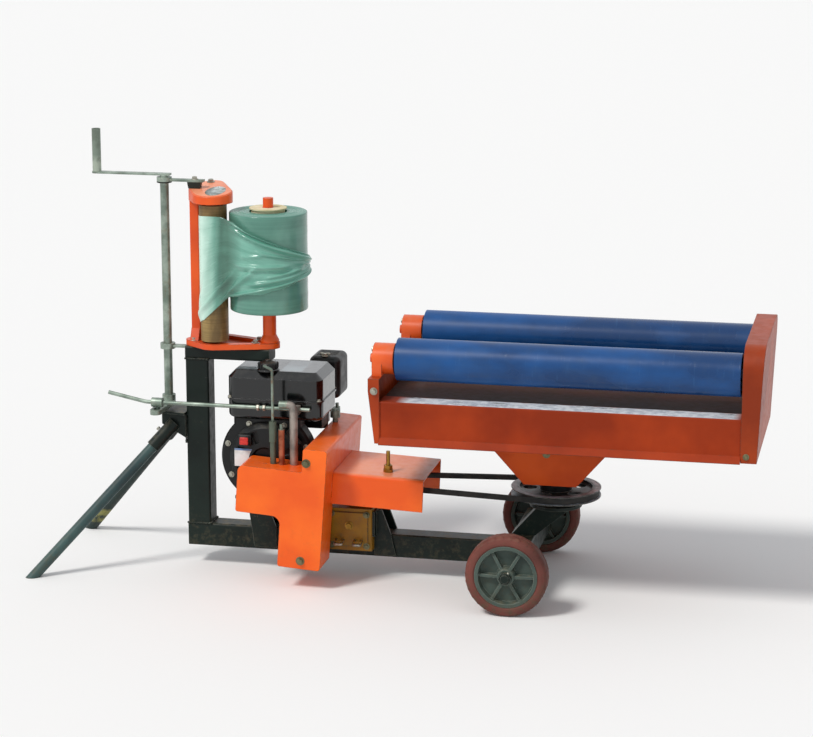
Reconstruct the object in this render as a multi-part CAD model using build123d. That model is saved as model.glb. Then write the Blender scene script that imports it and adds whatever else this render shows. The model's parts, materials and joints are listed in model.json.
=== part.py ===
from build123d import *
import os
from math import cos, radians, sin, sqrt, tan

os.makedirs("parts", exist_ok=True)

# Towed bale wrapper: a low square-tube chassis with a mast and film dispenser at one end, an
# engine and a covered drive amidships, and over the wheels a turntable with two bale rollers.
# Millimetres. X runs from the stand legs (low X) to the turntable (high X), Y across, Z up.
# The pieces are drawn with X = 0, Y = 0 on the turntable axis and Z = 0 on the ground, then moved
# so that the origin is under the middle of the whole machine.

# ---------------------------------------------------------------- driving sizes
FIT = 0.05              # radial running clearance of a shaft in its bore
SEAT = 0.3              # gap between faces that lie or run past each other
RUN = 5.0               # open gap between moving pieces
SHEET = 3.0             # folded sheet of the guards and the chain case
PLATE = 6.0             # flat bar and gusset plate

# wheels and axle
WHEEL_D = 200.0
WHEEL_W = 50.0
TYRE_T = 23.0           # tyre, radially
AXLE_D = 20.0
WHEEL_X = -77.0
TRACK = 534.0
RIBS = 6                # hub ribs

# chassis
TUBE = 60.0             # square tube, outside
TUBE_WALL = 4.0
BEAM_DROP = 20.0        # beam centre below the wheel centre
MAST_X = -917.0         # centre of the mast post
MAST_H = 463.0          # beam top to mast top
ARM_H = 32.0            # mast arm, height

# turntable
PEDESTAL_H = 83.0       # axle top to turntable flange
KINGPIN_D = 40.0
PULLEY_D = 224.0        # turntable pulley over its rim
PULLEY_H = 22.0
GROOVE = 12.0           # groove depth of both pulleys
DRIVE_X = -490.0        # gearbox output shaft
DRIVE_D = 114.0         # drive pulley over its rim
BELT_T = 8.0
OUT_SHAFT_D = 24.0

# bale table
HOPPER_H = 118.0        # pulley hub top to the table's underside
APRON_H = 105.0
TABLE_HALF_W = 232.0
TABLE_X0 = -427.0       # left end, outer face at its top
TABLE_X1 = 520.0        # chain case, outer face at its top
APRON_T = 4.0
END_T = 28.0            # left end, thickness
CASE_T = 50.0           # chain case, thickness
ROLLER_D = 104.0
ROLLER_WALL = 5.0
ROLLER_Y = 170.0
ROLLER_CLEAR = 41.0     # table top to the underside of the rollers
ROLLER_SHAFT_D = 25.0

# film dispenser
ROLL_X = -733.0
ROLL_D = 196.0
FILM_H = 250.0
CORE_D = 84.0
SPINDLE_D = 30.0
ROLL_GAP = 5.0          # film roll to the stretch rollers
STRETCH_D = 70.0
STRETCH_REAR_D = 60.0
STRETCH_Y = -24.0
NIP = 7.7               # between the two stretch rollers
STRETCH_SHAFT_D = 16.0
POST_W = 24.0

# clutch control
CRANK_OUT = 54.0        # crank tube centre beyond the mast face
CRANK_D = 22.0
CRANK_ARM = 188.0
CRANK_RANGE = 15.0      # degrees either way
LEVER_R = 97.0          # crank centre to the rod's pin
ROD_D = 10.0
ROD_TAIL = 128.0        # rod end beyond the crank
LEVER_PIN_D = 9.0

# engine, with its crankshaft across the machine
ENG_X = -728.0
ENG_Z = 300.0
ENG_BASE = 106.0        # crankshaft above the engine bed

# drive guard, leaned as it stands on the machine
GUARD_TILT = 4.0
GUARD_X = -600.0
GUARD_Z = 200.0
GUARD_Y = -190.0        # near face
GUARD_DEEP = 100.0      # front part, depth

# belt guard
CHANNEL_W = 224.0
CHANNEL_H = 82.0
CHANNEL_X1 = -314.0
CHANNEL_TILT = 2.4

# stand
FOOT_X = -1300.0
FOOT_Y = 224.0
LEG_D = 27.0
LEG_WALL = 3.0

# ---------------------------------------------------------------- heights and places that follow
HALF = TUBE / 2
INNER = TUBE - 2 * TUBE_WALL
AXLE_Z = WHEEL_D / 2
AXLE_TOP = AXLE_Z + HALF
BEAM_Z = AXLE_Z - BEAM_DROP - HALF
BEAM_TOP = BEAM_Z + TUBE
MAST_X0 = MAST_X - HALF
MAST_X1 = MAST_X + HALF
MAST_TOP = BEAM_TOP + MAST_H
FLANGE_TOP = AXLE_TOP + PEDESTAL_H
BELT_Z = FLANGE_TOP + 30
HUB_TOP = BELT_Z + 39
TABLE_Z = HUB_TOP + HOPPER_H
DECK_Z = TABLE_Z + APRON_H
ROLLER_Z = DECK_Z + ROLLER_CLEAR + ROLLER_D / 2
CASE_TOP = ROLLER_Z + 77
BASE_T = 14.0
BASE_TOP = MAST_TOP + BASE_T
FILM_Z = BASE_TOP + 85
CAP_Z = FILM_Z + FILM_H + 20
STRAP_Z = CAP_Z + 42
CRANK_TOP = CAP_Z + 60
CRANK_X = MAST_X0 - CRANK_OUT
CRANK_FOOT = MAST_TOP - 148
ROD_Z = CRANK_FOOT + 15
ROD_Y = -LEVER_R


# ---------------------------------------------------------------- helpers
def block(x0, x1, y0, y1, z0, z1):
    return Pos((x0 + x1) / 2, (y0 + y1) / 2, (z0 + z1) / 2) * Box(x1 - x0, y1 - y0, z1 - z0)


def rod_z(x, y, z0, z1, d):
    return Pos(x, y, (z0 + z1) / 2) * Cylinder(d / 2, z1 - z0)


def rod_y(x, z, y0, y1, d):
    return Pos(x, (y0 + y1) / 2, z) * Rot(90, 0, 0) * Cylinder(d / 2, y1 - y0)


def rod_x(y, z, x0, x1, d):
    return Pos((x0 + x1) / 2, y, z) * Rot(0, 90, 0) * Cylinder(d / 2, x1 - x0)


def outline(points, radii=0.0):
    """Face with straight sides; radii is one corner radius or a list of them."""
    if radii == 0.0:
        return make_face(Polyline(*points, close=True))
    return make_face(FilletPolyline(*points, radius=radii, close=True))


def slab_xz(face, y0, y1):
    """Face drawn in X and Z, extruded from y0 to y1."""
    plane = Plane(origin=(0, y1, 0), x_dir=(1, 0, 0), z_dir=(0, -1, 0))
    return extrude(plane * face, amount=y1 - y0)


def slab_yz(face, x0, x1):
    """Face drawn in Y and Z, extruded from x0 to x1."""
    plane = Plane(origin=(x0, 0, 0), x_dir=(0, 1, 0), z_dir=(1, 0, 0))
    return extrude(plane * face, amount=x1 - x0)


def slab_xy(face, z0, z1):
    return extrude(Pos(0, 0, z0) * face, amount=z1 - z0)


def turned(points, radii=0.0):
    """Body of revolution about Z from a radius and height outline."""
    plane = Plane(origin=(0, 0, 0), x_dir=(1, 0, 0), z_dir=(0, -1, 0))
    return revolve(plane * outline(points, radii), Axis.Z, 360)


def hull_of(*circles):
    """Flat outline wrapped round circles given as x, y, r."""
    edges = []
    for x, y, r in circles:
        edges += (Pos(x, y) * Circle(r)).edges()
    return make_hull(edges)


def bar(a, b, d):
    """Round bar from point a to point b."""
    a, b = Vector(*a), Vector(*b)
    return Plane(origin=a, z_dir=b - a) * Pos(0, 0, (b - a).length / 2) * Cylinder(d / 2, (b - a).length)


def bent_rod(points, radius, d):
    """Round rod along straight runs with bends of one radius."""
    path = FilletPolyline(*points, radius=radius)
    return sweep(Plane(origin=path @ 0, z_dir=path % 0) * Circle(d / 2), path=path)


def square_tube(length, height):
    """Closed square tube along X from X = 0, with rounded corners, its middle on the X axis."""
    outside = slab_yz(RectangleRounded(TUBE, height, TUBE_WALL * 1.5), 0, length)
    inside = slab_yz(Rectangle(INNER, height - 2 * TUBE_WALL), TUBE_WALL, length - TUBE_WALL)
    return outside - inside


def both(shape):
    """The shape and its mirror image across the machine."""
    return shape + mirror(shape, about=Plane.XZ)


parts = {}

# ---------------------------------------------------------------- chassis tubes
ARM_X1 = ROLL_X + 6
parts["base_beam"] = Pos(MAST_X0, 0, BEAM_Z + HALF) * square_tube(WHEEL_X - HALF - MAST_X0, TUBE)
post_len = MAST_TOP - ARM_H - BEAM_TOP
parts["mast_post"] = Pos(MAST_X, 0, MAST_TOP - ARM_H) * Rot(0, 90, 0) * square_tube(post_len, TUBE)
parts["mast_arm"] = Pos(MAST_X0, 0, MAST_TOP - ARM_H / 2) * square_tube(ARM_X1 - MAST_X0, ARM_H)

# ---------------------------------------------------------------- axle
AXLE_HALF = TRACK / 2 - WHEEL_W / 2 - 7
SPACER = 5.0
NUT_H = 10.0
NUT_Y = TRACK / 2 + WHEEL_W / 2 + 1
axle = Pos(WHEEL_X, -AXLE_HALF, AXLE_Z) * Rot(0, 0, 90) * square_tube(2 * AXLE_HALF, TUBE)
stub = rod_y(WHEEL_X, AXLE_Z, AXLE_HALF, NUT_Y + NUT_H + 4, AXLE_D)
stub += rod_y(WHEEL_X, AXLE_Z, AXLE_HALF, AXLE_HALF + SPACER, AXLE_D + 14)
stub += Pos(WHEEL_X, NUT_Y, AXLE_Z) * Rot(-90, 0, 0) * extrude(RegularPolygon(AXLE_D * 0.8, 6), NUT_H)
parts["axle_beam"] = axle + both(stub)

# ---------------------------------------------------------------- turntable pedestal
FLANGE_T = 8.0
FLANGE_D = 130.0
COLUMN_T = 5.0
COLUMN_W = 84.0


def column(shrink):
    """Box column that leans from the axle to the turntable axis."""
    foot = Pos(WHEEL_X, 0, AXLE_TOP) * Rectangle(TUBE - shrink, TUBE - shrink)
    head = Pos(0, 0, FLANGE_TOP - FLANGE_T) * Rectangle(COLUMN_W - shrink, TUBE - shrink)
    return loft([foot, head])


pedestal = column(0) - column(2 * COLUMN_T)
pedestal += rod_z(0, 0, FLANGE_TOP - FLANGE_T, FLANGE_TOP, FLANGE_D)
pedestal += rod_z(0, 0, FLANGE_TOP, TABLE_Z - 20, KINGPIN_D)
pedestal += rod_z(0, 0, TABLE_Z - 20, TABLE_Z - 12, KINGPIN_D - 10)
parts["turntable_pedestal"] = pedestal

# ---------------------------------------------------------------- wheels
HUB_R = WHEEL_D / 2 - TYRE_T
RIM_T = 9.0
BOSS_R = AXLE_D / 2 + 11


def make_hub():
    """Moulded hub about Z: a lipped rim, a thin web, a boss with bearing seats and tapered ribs."""
    h = WHEEL_W / 2
    bore = AXLE_D / 2 + FIT
    hub = turned([(HUB_R - RIM_T, -h + 3), (HUB_R - SEAT / 3, -h + 3), (HUB_R - SEAT / 3, h - 3),
                  (HUB_R - RIM_T, h - 3), (HUB_R - RIM_T - 3, 0)])
    hub += turned([(bore, -3), (HUB_R - RIM_T + 2, -3), (HUB_R - RIM_T + 2, 3), (bore, 3)])
    hub += turned([(bore, -h), (BOSS_R - 2, -h), (BOSS_R, -h + 2), (BOSS_R + 4, 0), (BOSS_R, h - 2),
                   (BOSS_R - 2, h), (bore, h)])
    rib = slab_xz(outline([(BOSS_R - 1, -h + 5), (HUB_R - RIM_T + 1, -h + 10), (HUB_R - RIM_T + 1, h - 10),
                           (BOSS_R - 1, h - 5)]), -3.5, 3.5)
    for k in range(RIBS):
        hub += Rot(0, 0, k * 360 / RIBS) * rib
    return hub


def make_tyre():
    h = WHEEL_W / 2
    r = WHEEL_D / 2
    return turned([(HUB_R, -h + 4), (HUB_R + 7, -h), (r - 9, -h + 1), (r, -h + 11), (r, h - 11),
                   (r - 9, h - 1), (HUB_R + 7, h), (HUB_R, h - 4)], [0.5, 1, 1, 12, 12, 1, 1, 0.5])


hub, tyre = make_hub(), make_tyre()
for name, y, turn in (("near", -TRACK / 2, 90), ("far", TRACK / 2, -90)):
    parts[name + "_wheel_hub"] = Pos(WHEEL_X, y, AXLE_Z) * Rot(turn, 0, 0) * hub
    parts[name + "_wheel_tyre"] = Pos(WHEEL_X, y, AXLE_Z) * Rot(turn, 0, 0) * tyre

# ---------------------------------------------------------------- pulleys and belt
GROOVE_IN = 6.0         # half width of the groove at its bottom
GROOVE_OUT = 8.5        # and at the rim
RIM_R = 9.0             # rim left under the groove
WEB_T = 8.0


def sheave(d, hub_r):
    """Grooved pulley about Z with its middle at Z = 0: rim, web and a stub of hub."""
    r, h = d / 2, PULLEY_H / 2
    inner = r - GROOVE - RIM_R
    half_web = WEB_T / 2
    return turned([(0, -h), (hub_r, -h), (hub_r, -half_web), (inner, -half_web), (inner, -h), (r, -h),
                   (r, -GROOVE_OUT), (r - GROOVE, -GROOVE_IN), (r - GROOVE, GROOVE_IN), (r, GROOVE_OUT),
                   (r, h), (inner, h), (inner, half_web), (hub_r, half_web), (hub_r, h), (0, h)])


HUB_PULLEY_R = KINGPIN_D / 2 + 20
pulley = Pos(0, 0, BELT_Z) * sheave(PULLEY_D, HUB_PULLEY_R)
web_r0, web_r1 = HUB_PULLEY_R, PULLEY_D / 2 - GROOVE - RIM_R
for k in range(5):
    hole = rod_z((web_r0 + web_r1) / 2, 0, BELT_Z - WEB_T, BELT_Z + WEB_T, (web_r1 - web_r0) * 0.7)
    pulley -= Rot(0, 0, 36 + k * 72) * hole
pulley += rod_z(0, 0, FLANGE_TOP + SEAT, HUB_TOP, 2 * HUB_PULLEY_R)
pulley -= rod_z(0, 0, FLANGE_TOP, HUB_TOP + 1, KINGPIN_D + 2 * FIT)
parts["turntable_pulley"] = pulley

GBOX_TOP = BEAM_TOP + 72
NECK_H = 18.0
drive = Pos(DRIVE_X, 0, BELT_Z) * sheave(DRIVE_D, OUT_SHAFT_D / 2 + 10)
drive += rod_z(DRIVE_X, 0, GBOX_TOP + NECK_H + 1, BELT_Z, OUT_SHAFT_D + 20)
drive += rod_z(DRIVE_X, 0, GBOX_TOP - 12, BELT_Z + PULLEY_H / 2 + 6, OUT_SHAFT_D)
parts["drive_pulley"] = drive

BELT_R = PULLEY_D / 2 - GROOVE + SEAT
BELT_DRIVE_R = DRIVE_D / 2 - GROOVE + SEAT
SLOPE = (GROOVE_OUT - GROOVE_IN) / GROOVE
belt_in = GROOVE_IN - 0.5
belt_out = belt_in + SLOPE * BELT_T
lean_y = sqrt(DRIVE_X ** 2 - (BELT_R - BELT_DRIVE_R) ** 2) / abs(DRIVE_X)
lean_x = (BELT_R - BELT_DRIVE_R) / abs(DRIVE_X)


def tangent(centre_x, r, side):
    """Point where a straight run of the belt leaves a pulley of radius r."""
    return centre_x - r * lean_x, side * r * lean_y, BELT_Z


run_a = Line(tangent(0, BELT_R, -1), tangent(DRIVE_X, BELT_DRIVE_R, -1))
turn_a = ThreePointArc(tangent(DRIVE_X, BELT_DRIVE_R, -1), (DRIVE_X - BELT_DRIVE_R, 0, BELT_Z),
                       tangent(DRIVE_X, BELT_DRIVE_R, 1))
run_b = Line(tangent(DRIVE_X, BELT_DRIVE_R, 1), tangent(0, BELT_R, 1))
turn_b = ThreePointArc(tangent(0, BELT_R, 1), (BELT_R, 0, BELT_Z), tangent(0, BELT_R, -1))
loop = Wire([run_a, turn_a, run_b, turn_b])
start = Vector(*tangent(0, BELT_R, -1))
outward = Vector(-lean_x, -lean_y, 0)
section_plane = Plane(origin=start, x_dir=outward, z_dir=run_a % 0)
section = section_plane * outline([(0, -belt_in), (BELT_T, -belt_out), (BELT_T, belt_out), (0, belt_in)])
parts["drive_belt"] = sweep(section, path=loop)

# ---------------------------------------------------------------- gearbox
GB_X0, GB_X1 = DRIVE_X - 83, DRIVE_X + 33
GB_HALF = 62.0
GB_SKIRT = 38.0         # cheeks hang down beside the beam
gbox = block(GB_X0, GB_X1, -GB_HALF, GB_HALF, BEAM_TOP, GBOX_TOP)
gbox += both(block(GB_X0, GB_X1, HALF, GB_HALF, BEAM_TOP - GB_SKIRT, BEAM_TOP))
gbox = fillet(gbox.edges().filter_by(Axis.Z), 5)
cover = slab_xz(outline([(GB_X0 + 10, BEAM_TOP - 26), (GB_X1 - 10, BEAM_TOP - 26), (GB_X1 - 10, GBOX_TOP - 10),
                         (GB_X0 + 10, GBOX_TOP - 10)], 8.0), GB_HALF, GB_HALF + 4)
gbox += both(cover)
gbox += rod_z(DRIVE_X, 0, GBOX_TOP, GBOX_TOP + NECK_H, OUT_SHAFT_D + 30)
for k in range(4):
    rib = block(OUT_SHAFT_D / 2 + 10, OUT_SHAFT_D / 2 + 34, -3, 3, 0, NECK_H - 4)
    gbox += Pos(DRIVE_X, 0, GBOX_TOP) * Rot(0, 0, 45 + 90 * k) * rib
gbox += rod_z(GB_X0 + 28, 30, GBOX_TOP, GBOX_TOP + 8, 20)
for x in (GB_X0 + 34, GB_X1 - 34):
    hook = bent_rod([(x - 9, -GB_HALF, BEAM_TOP - 10), (x - 9, -GB_HALF - 22, BEAM_TOP - 10),
                     (x + 9, -GB_HALF - 22, BEAM_TOP - 10), (x + 9, -GB_HALF, BEAM_TOP - 10)], 7.0, 5)
    gbox += Pos(0, -2, 0) * hook
gbox -= rod_z(DRIVE_X, 0, GBOX_TOP - 14, GBOX_TOP + NECK_H + 1, OUT_SHAFT_D + 2 * FIT)
parts["gearbox"] = gbox
end_x = GB_X1 + SEAT
bracket = block(end_x, end_x + PLATE, -GB_HALF + 4, GB_HALF - 4, BEAM_TOP, GBOX_TOP - 8)
cheek = outline([(end_x, BEAM_Z + 6), (end_x + 56, BEAM_Z + 6), (end_x + 44, BEAM_TOP), (end_x + 20, GBOX_TOP - 8),
                 (end_x, GBOX_TOP - 8)])
bracket += both(slab_xz(cheek, HALF, HALF + PLATE))
parts["gearbox_bracket"] = bracket

# ---------------------------------------------------------------- engine bed
BED_TOP = ENG_Z - ENG_BASE
BED_T = 8.0
BED_X0, BED_X1 = ENG_X - 88, ENG_X + 88
BED_Y0, BED_Y1 = -48.0, 118.0
bed = block(BED_X0, BED_X1, BED_Y0, BED_Y1, BED_TOP - BED_T, BED_TOP)
bed += both(slab_xz(outline([(ENG_X - 60, BED_TOP - BED_T), (ENG_X - 12, BED_TOP - BED_T), (ENG_X + 16, BEAM_TOP),
                             (ENG_X + 16, BEAM_Z + 8), (ENG_X - 42, BEAM_Z + 8)]), HALF, HALF + PLATE))
bed += slab_yz(outline([(-HALF, BEAM_TOP), (HALF, BEAM_TOP), (BED_Y1 - 8, BED_TOP - BED_T),
                        (BED_Y0, BED_TOP - BED_T)]), ENG_X - 40, ENG_X - 40 + PLATE)
parts["engine_bed"] = bed

# ---------------------------------------------------------------- engine
CASE_HALF = 82.0        # crankcase, along X
CASE_Y0, CASE_Y1 = -14.0, 98.0
TANK_Z0, TANK_Z1 = ENG_Z + 106, ENG_Z + 228
FAN_D = 240.0
FAN_T = 44.0
case = block(ENG_X - CASE_HALF, ENG_X + CASE_HALF, CASE_Y0, CASE_Y1, BED_TOP, ENG_Z + 32)
case = fillet(case.edges().filter_by(Axis.Y), 26)
case += block(ENG_X - CASE_HALF + 4, ENG_X + CASE_HALF - 4, CASE_Y0, CASE_Y1, BED_TOP, BED_TOP + 12)
case += rod_y(ENG_X, ENG_Z, CASE_Y1, CASE_Y1 + 12, 140)
case += rod_y(ENG_X, ENG_Z, CASE_Y1 + 12, CASE_Y1 + 60, 20)
head = block(ENG_X - 46, ENG_X + 46, CASE_Y0 + 8, CASE_Y1 - 12, ENG_Z + 30, TANK_Z0 - 6)
FIN_PITCH = 10.0
for k in range(6):
    fin_z = ENG_Z + 36 + k * FIN_PITCH
    head += block(ENG_X - 60, ENG_X + 60, CASE_Y0 + 2, CASE_Y1 + 4, fin_z, fin_z + 4)
case += head
parts["engine_block"] = case
fan_y = CASE_Y0 - SEAT
shroud_face = Pos(ENG_X, ENG_Z) * Circle(FAN_D / 2)
shroud_face += Pos(ENG_X, ENG_Z + FAN_D / 4) * Rectangle(FAN_D * 0.72, FAN_D / 2)
fan_z0, fan_z1 = BED_TOP + 2, TANK_Z0 - SEAT
shroud_face &= Pos(ENG_X, (fan_z0 + fan_z1) / 2) * Rectangle(FAN_D, fan_z1 - fan_z0)
shroud = slab_xz(shroud_face, fan_y - FAN_T, fan_y)
shroud = chamfer(shroud.faces().sort_by(Axis.Y)[0].edges(), 6)
parts["fan_cowl"] = shroud
RECOIL_D = 188.0
RECOIL_T = 26.0
recoil = Rot(90, 0, 0) * turned([(0, 0), (RECOIL_D / 2, 0), (RECOIL_D / 2, 10), (RECOIL_D / 2 - 12, RECOIL_T - 4),
                                 (34, RECOIL_T), (30, RECOIL_T - 5), (0, RECOIL_T - 5)])
slot = Rot(90, 0, 0) * slab_xy(outline([(46, -5), (76, -9), (76, 9), (46, 5)]), RECOIL_T - 8, RECOIL_T + 4)
for k in range(8):
    recoil -= Rot(0, k * 45 + 22.5, 0) * slot
recoil = Pos(ENG_X, fan_y - FAN_T, ENG_Z) * recoil
recoil += Pos(ENG_X + 74, fan_y - FAN_T - 14, ENG_Z + 62) * Rot(0, -40, 0) * Cylinder(7, 46)
parts["recoil_starter"] = recoil
TANK_X0, TANK_X1 = ENG_X - 96, ENG_X + 148
TANK_HALF = 85.0
SEAM_Z = TANK_Z0 + 48
plan = Pos((TANK_X0 + TANK_X1) / 2, 0) * RectangleRounded(TANK_X1 - TANK_X0, 2 * TANK_HALF, 26)
tank = slab_xy(plan, TANK_Z0, TANK_Z1)
tank = fillet(tank.faces().sort_by(Axis.Z)[0].edges(), 12)
tank = chamfer(tank.faces().sort_by(Axis.Z)[-1].edges(), 18)
tank += slab_xy(offset(plan, 3), SEAM_Z, SEAM_Z + 4)
parts["fuel_tank"] = tank
CAP_X, CAP_Y = ENG_X + 6, -58.0
cap = turned([(0, 0), (24, 0), (24, 14), (20, 20), (10, 24), (0, 24)])
parts["fuel_cap"] = Pos(CAP_X, CAP_Y, TANK_Z1) * cap
cleaner = block(ENG_X + 68, ENG_X + 150, 105, 205, ENG_Z + 120, ENG_Z + 230)
cleaner = fillet(cleaner.edges(), 16)
carb = block(ENG_X + 60 + SEAT, ENG_X + 112, CASE_Y1 - 34, 150, ENG_Z + 52, ENG_Z + 88)
carb += rod_z(ENG_X + 96, 128, ENG_Z + 40, ENG_Z + 124, 34)
parts["air_cleaner"] = cleaner + carb
muffler = block(ENG_X - 84, ENG_X + 26, CASE_Y1 + 20, CASE_Y1 + 84, ENG_Z + 76, ENG_Z + 164)
muffler = fillet(muffler.edges(), 18)
muffler += rod_y(ENG_X - 36, ENG_Z + 90, CASE_Y1 + 4 + SEAT, CASE_Y1 + 30, 26)
parts["muffler"] = muffler + rod_x(CASE_Y1 + 52, ENG_Z + 104, ENG_X - 108, ENG_X - 80, 22)

# ---------------------------------------------------------------- drive guard
# Drawn upright about its lean point as U along X and V along Z, then leaned.
COL_U0, COL_U1 = -12.0, 49.0
LOW_U0 = -60.0
ARM_U0 = -175.0
ARM_V0, ARM_V1 = -17.0, 103.0
TOP_V = 164.0
LOW_V = -145.0
CROSS_V = 40.0
GUARD_BACK = GUARD_Y + GUARD_DEEP


def lean(shape):
    return Pos(GUARD_X, 0, GUARD_Z) * Rot(0, GUARD_TILT, 0) * shape


def front_face(inset):
    """Outline of the guard's front: a column with an arm to one side."""
    d = inset
    corners = [(COL_U1 - d, LOW_V + d), (COL_U1 - d, TOP_V - d), (COL_U0 + d, TOP_V - d), (COL_U0 + d, ARM_V1 - d),
               (ARM_U0 + d, ARM_V1 - d), (ARM_U0 + d, ARM_V0 + d), (LOW_U0 + d, ARM_V0 + d), (LOW_U0 + d, LOW_V + d)]
    return outline(corners, [8 - d / 2, 6 - d / 2, 6 - d / 2, 3 + d, 16 - d, 6 - d / 2, 22 + d, 6 - d / 2])


def cross_face(inset):
    """Outline of the part that crosses the machine, seen from its end."""
    d = inset
    return outline([(COL_U0 + d, CROSS_V - (2 if d else 0)), (COL_U1 - d, CROSS_V - (2 if d else 0)),
                    (COL_U1 - d, TOP_V - d), (COL_U0 + d, TOP_V - d)], [1, 1, 6 - d / 2, 6 - d / 2])


front = slab_xz(front_face(0), GUARD_Y, GUARD_BACK)
front_hollow = slab_xz(front_face(SHEET), GUARD_Y + SHEET, GUARD_BACK + 1)
cross = slab_xz(cross_face(0), GUARD_Y + 20, -GUARD_Y)
cross_hollow = slab_xz(cross_face(SHEET), GUARD_Y + SHEET, -GUARD_Y - SHEET)
guard = front + cross - front_hollow - cross_hollow
slit = slab_xy(SlotOverall(26, 5), ARM_V1 - 8, ARM_V1 + 2)
guard -= Pos(-118, GUARD_Y + 42, 0) * slit
guard_solid = lean(front + cross)
STAY_D = 10.0
STAY_U = -2.0
STAY_V = (128.0, -124.0)
parts["drive_guard"] = lean(guard)


def leaned_point(u, v):
    a = radians(GUARD_TILT)
    return GUARD_X + u * cos(a) + v * sin(a), GUARD_Z - u * sin(a) + v * cos(a)


def guard_face_x(z):
    """X of the guard's leaned right face at height z."""
    a = radians(GUARD_TILT)
    v = (z - GUARD_Z + COL_U1 * sin(a)) / cos(a)
    return GUARD_X + COL_U1 * cos(a) + v * sin(a)


# Stays behind the two front bolts: one on the beam, one on the crankcase.
low_x, low_z = leaned_point(STAY_U, STAY_V[1])
top_x, top_z = leaned_point(STAY_U, STAY_V[0])
STAY_Y0 = GUARD_Y + SHEET + SEAT
case_x1 = ENG_X + CASE_HALF + SEAT
low_stay = rod_y(low_x, low_z, STAY_Y0, -HALF, STAY_D)
top_stay = rod_y(top_x, top_z, STAY_Y0, 24, STAY_D)
TAB_Z = GUARD_Z + CROSS_V - 20
top_tab = block(case_x1, case_x1 + PLATE, -4, 48, TAB_Z - 14, TAB_Z + 10)
top_tab += block(case_x1, top_x + 10, 0, 24, TAB_Z, TAB_Z + 10)
top_tab += rod_z(top_x, 12, TAB_Z, top_z, STAY_D)
parts["guard_stays"] = Compound(low_stay.solids() + (top_stay + top_tab).solids())

# ---------------------------------------------------------------- belt guard
CHANNEL_TOP = BELT_Z + 45
CHANNEL_X0 = guard_face_x(CHANNEL_TOP) + SEAT
STOP_X, STOP_Y = -415.0, -60.0


def channel_place(shape):
    return Pos(CHANNEL_X0, 0, CHANNEL_TOP) * Rot(0, CHANNEL_TILT, 0) * shape


def channel_face(inset):
    w = CHANNEL_W / 2 - inset
    low = -CHANNEL_H - (1 if inset else 0)
    return outline([(-w, low), (w, low), (w, -inset), (-w, -inset)], [0.5, 0.5, 10 - inset, 10 - inset])


channel_len = CHANNEL_X1 - CHANNEL_X0
channel_solid = channel_place(slab_yz(channel_face(0), -10, channel_len))
channel = slab_yz(channel_face(0), -10, channel_len) - slab_yz(channel_face(SHEET), -11, channel_len + 1)
parts["belt_guard"] = channel_place(channel) - guard_solid - Pos(SEAT, 0, 0) * guard_solid
stop = Pos(STOP_X, STOP_Y, CHANNEL_TOP - 10) * (rod_z(0, 0, 0, 26, 12) + rod_z(0, 0, 0, 12, 24))
stop += Pos(STOP_X, STOP_Y, CHANNEL_TOP + 2) * extrude(RegularPolygon(11, 6), 10)
stop += rod_z(STOP_X, STOP_Y, CHANNEL_TOP, CHANNEL_TOP + 48, 10)
parts["stop_pin"] = stop - channel_solid

# ---------------------------------------------------------------- control tubes on the guard's arm
TUBE_Y = GUARD_Y + 50
arm_top = GUARD_Z + ARM_V1 - 20
CATCH_X = -690.0
SPRING_X = -668.0
catcher = rod_z(CATCH_X, TUBE_Y, arm_top, CRANK_FOOT - 25, 15)
catcher += rod_z(CATCH_X, TUBE_Y, CRANK_FOOT - 60, CRANK_FOOT - 8, 19)
catcher += bent_rod([(CATCH_X, TUBE_Y, CRANK_FOOT - 10), (CATCH_X, TUBE_Y, ROD_Z + 108),
                     (CATCH_X - 22, TUBE_Y, ROD_Z + 118)], 8, 7)
spring_tube = rod_z(SPRING_X, TUBE_Y, arm_top, CRANK_FOOT - 26, 15)
spring_tube += rod_z(SPRING_X, TUBE_Y, CRANK_FOOT - 26, CRANK_FOOT - 14, 9)
GUIDE_X = -640.0
GUIDE_Y = ROD_Y - 30
guide = bent_rod([(GUIDE_X, GUIDE_Y, arm_top), (GUIDE_X, GUIDE_Y, ROD_Z + 18), (GUIDE_X - 36, GUIDE_Y, ROD_Z + 18)],
                 14, 20)
guide += block(GUIDE_X - 9, GUIDE_X + 9, GUIDE_Y + 8, ROD_Y + ROD_D / 2 + 2, ROD_Z - 10, ROD_Z + 10)
guide -= rod_x(ROD_Y, ROD_Z, GUIDE_X - 20, GUIDE_X + 20, ROD_D + 2 * FIT)
tubes = []
for piece in (catcher, spring_tube, guide):
    tubes += (piece - guard_solid).solids()
parts["control_tubes"] = Compound(tubes)

# Belt tensioner lever on top of the cross part of the guard.
LEVER_X, LEVER_Y = -588.0, 96.0
lever_z = min(TABLE_Z, TANK_Z0) - 8
tensioner = rod_z(LEVER_X, LEVER_Y, GUARD_Z + TOP_V - 20, lever_z + 6, 14)
tensioner += rod_z(LEVER_X, LEVER_Y, lever_z - 16, lever_z + 2, 26)
tensioner += slab_xy(hull_of((LEVER_X, LEVER_Y, 13), (LEVER_X - 10, LEVER_Y + 62, 8)), lever_z - 10, lever_z - 4)
tensioner += rod_z(LEVER_X - 10, LEVER_Y + 62, lever_z - 22, lever_z + 6, 9)
parts["tension_lever"] = tensioner - guard_solid

# ---------------------------------------------------------------- stand
SHELF_Z = CRANK_FOOT - 29
SOCKET_D = LEG_D + 8
SOCKET_L = 82.0
LEG_TOP = Vector(MAST_X0 - 30, 34, SHELF_Z - 24)


def leg_bar(length, d):
    """Far leg's line from its top, as a bar of one diameter."""
    foot = Vector(FOOT_X, FOOT_Y, 0)
    along = (foot - LEG_TOP).normalized()
    end = LEG_TOP + along * length
    return bar((LEG_TOP.X, LEG_TOP.Y, LEG_TOP.Z), (end.X, end.Y, end.Z), d)


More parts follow.
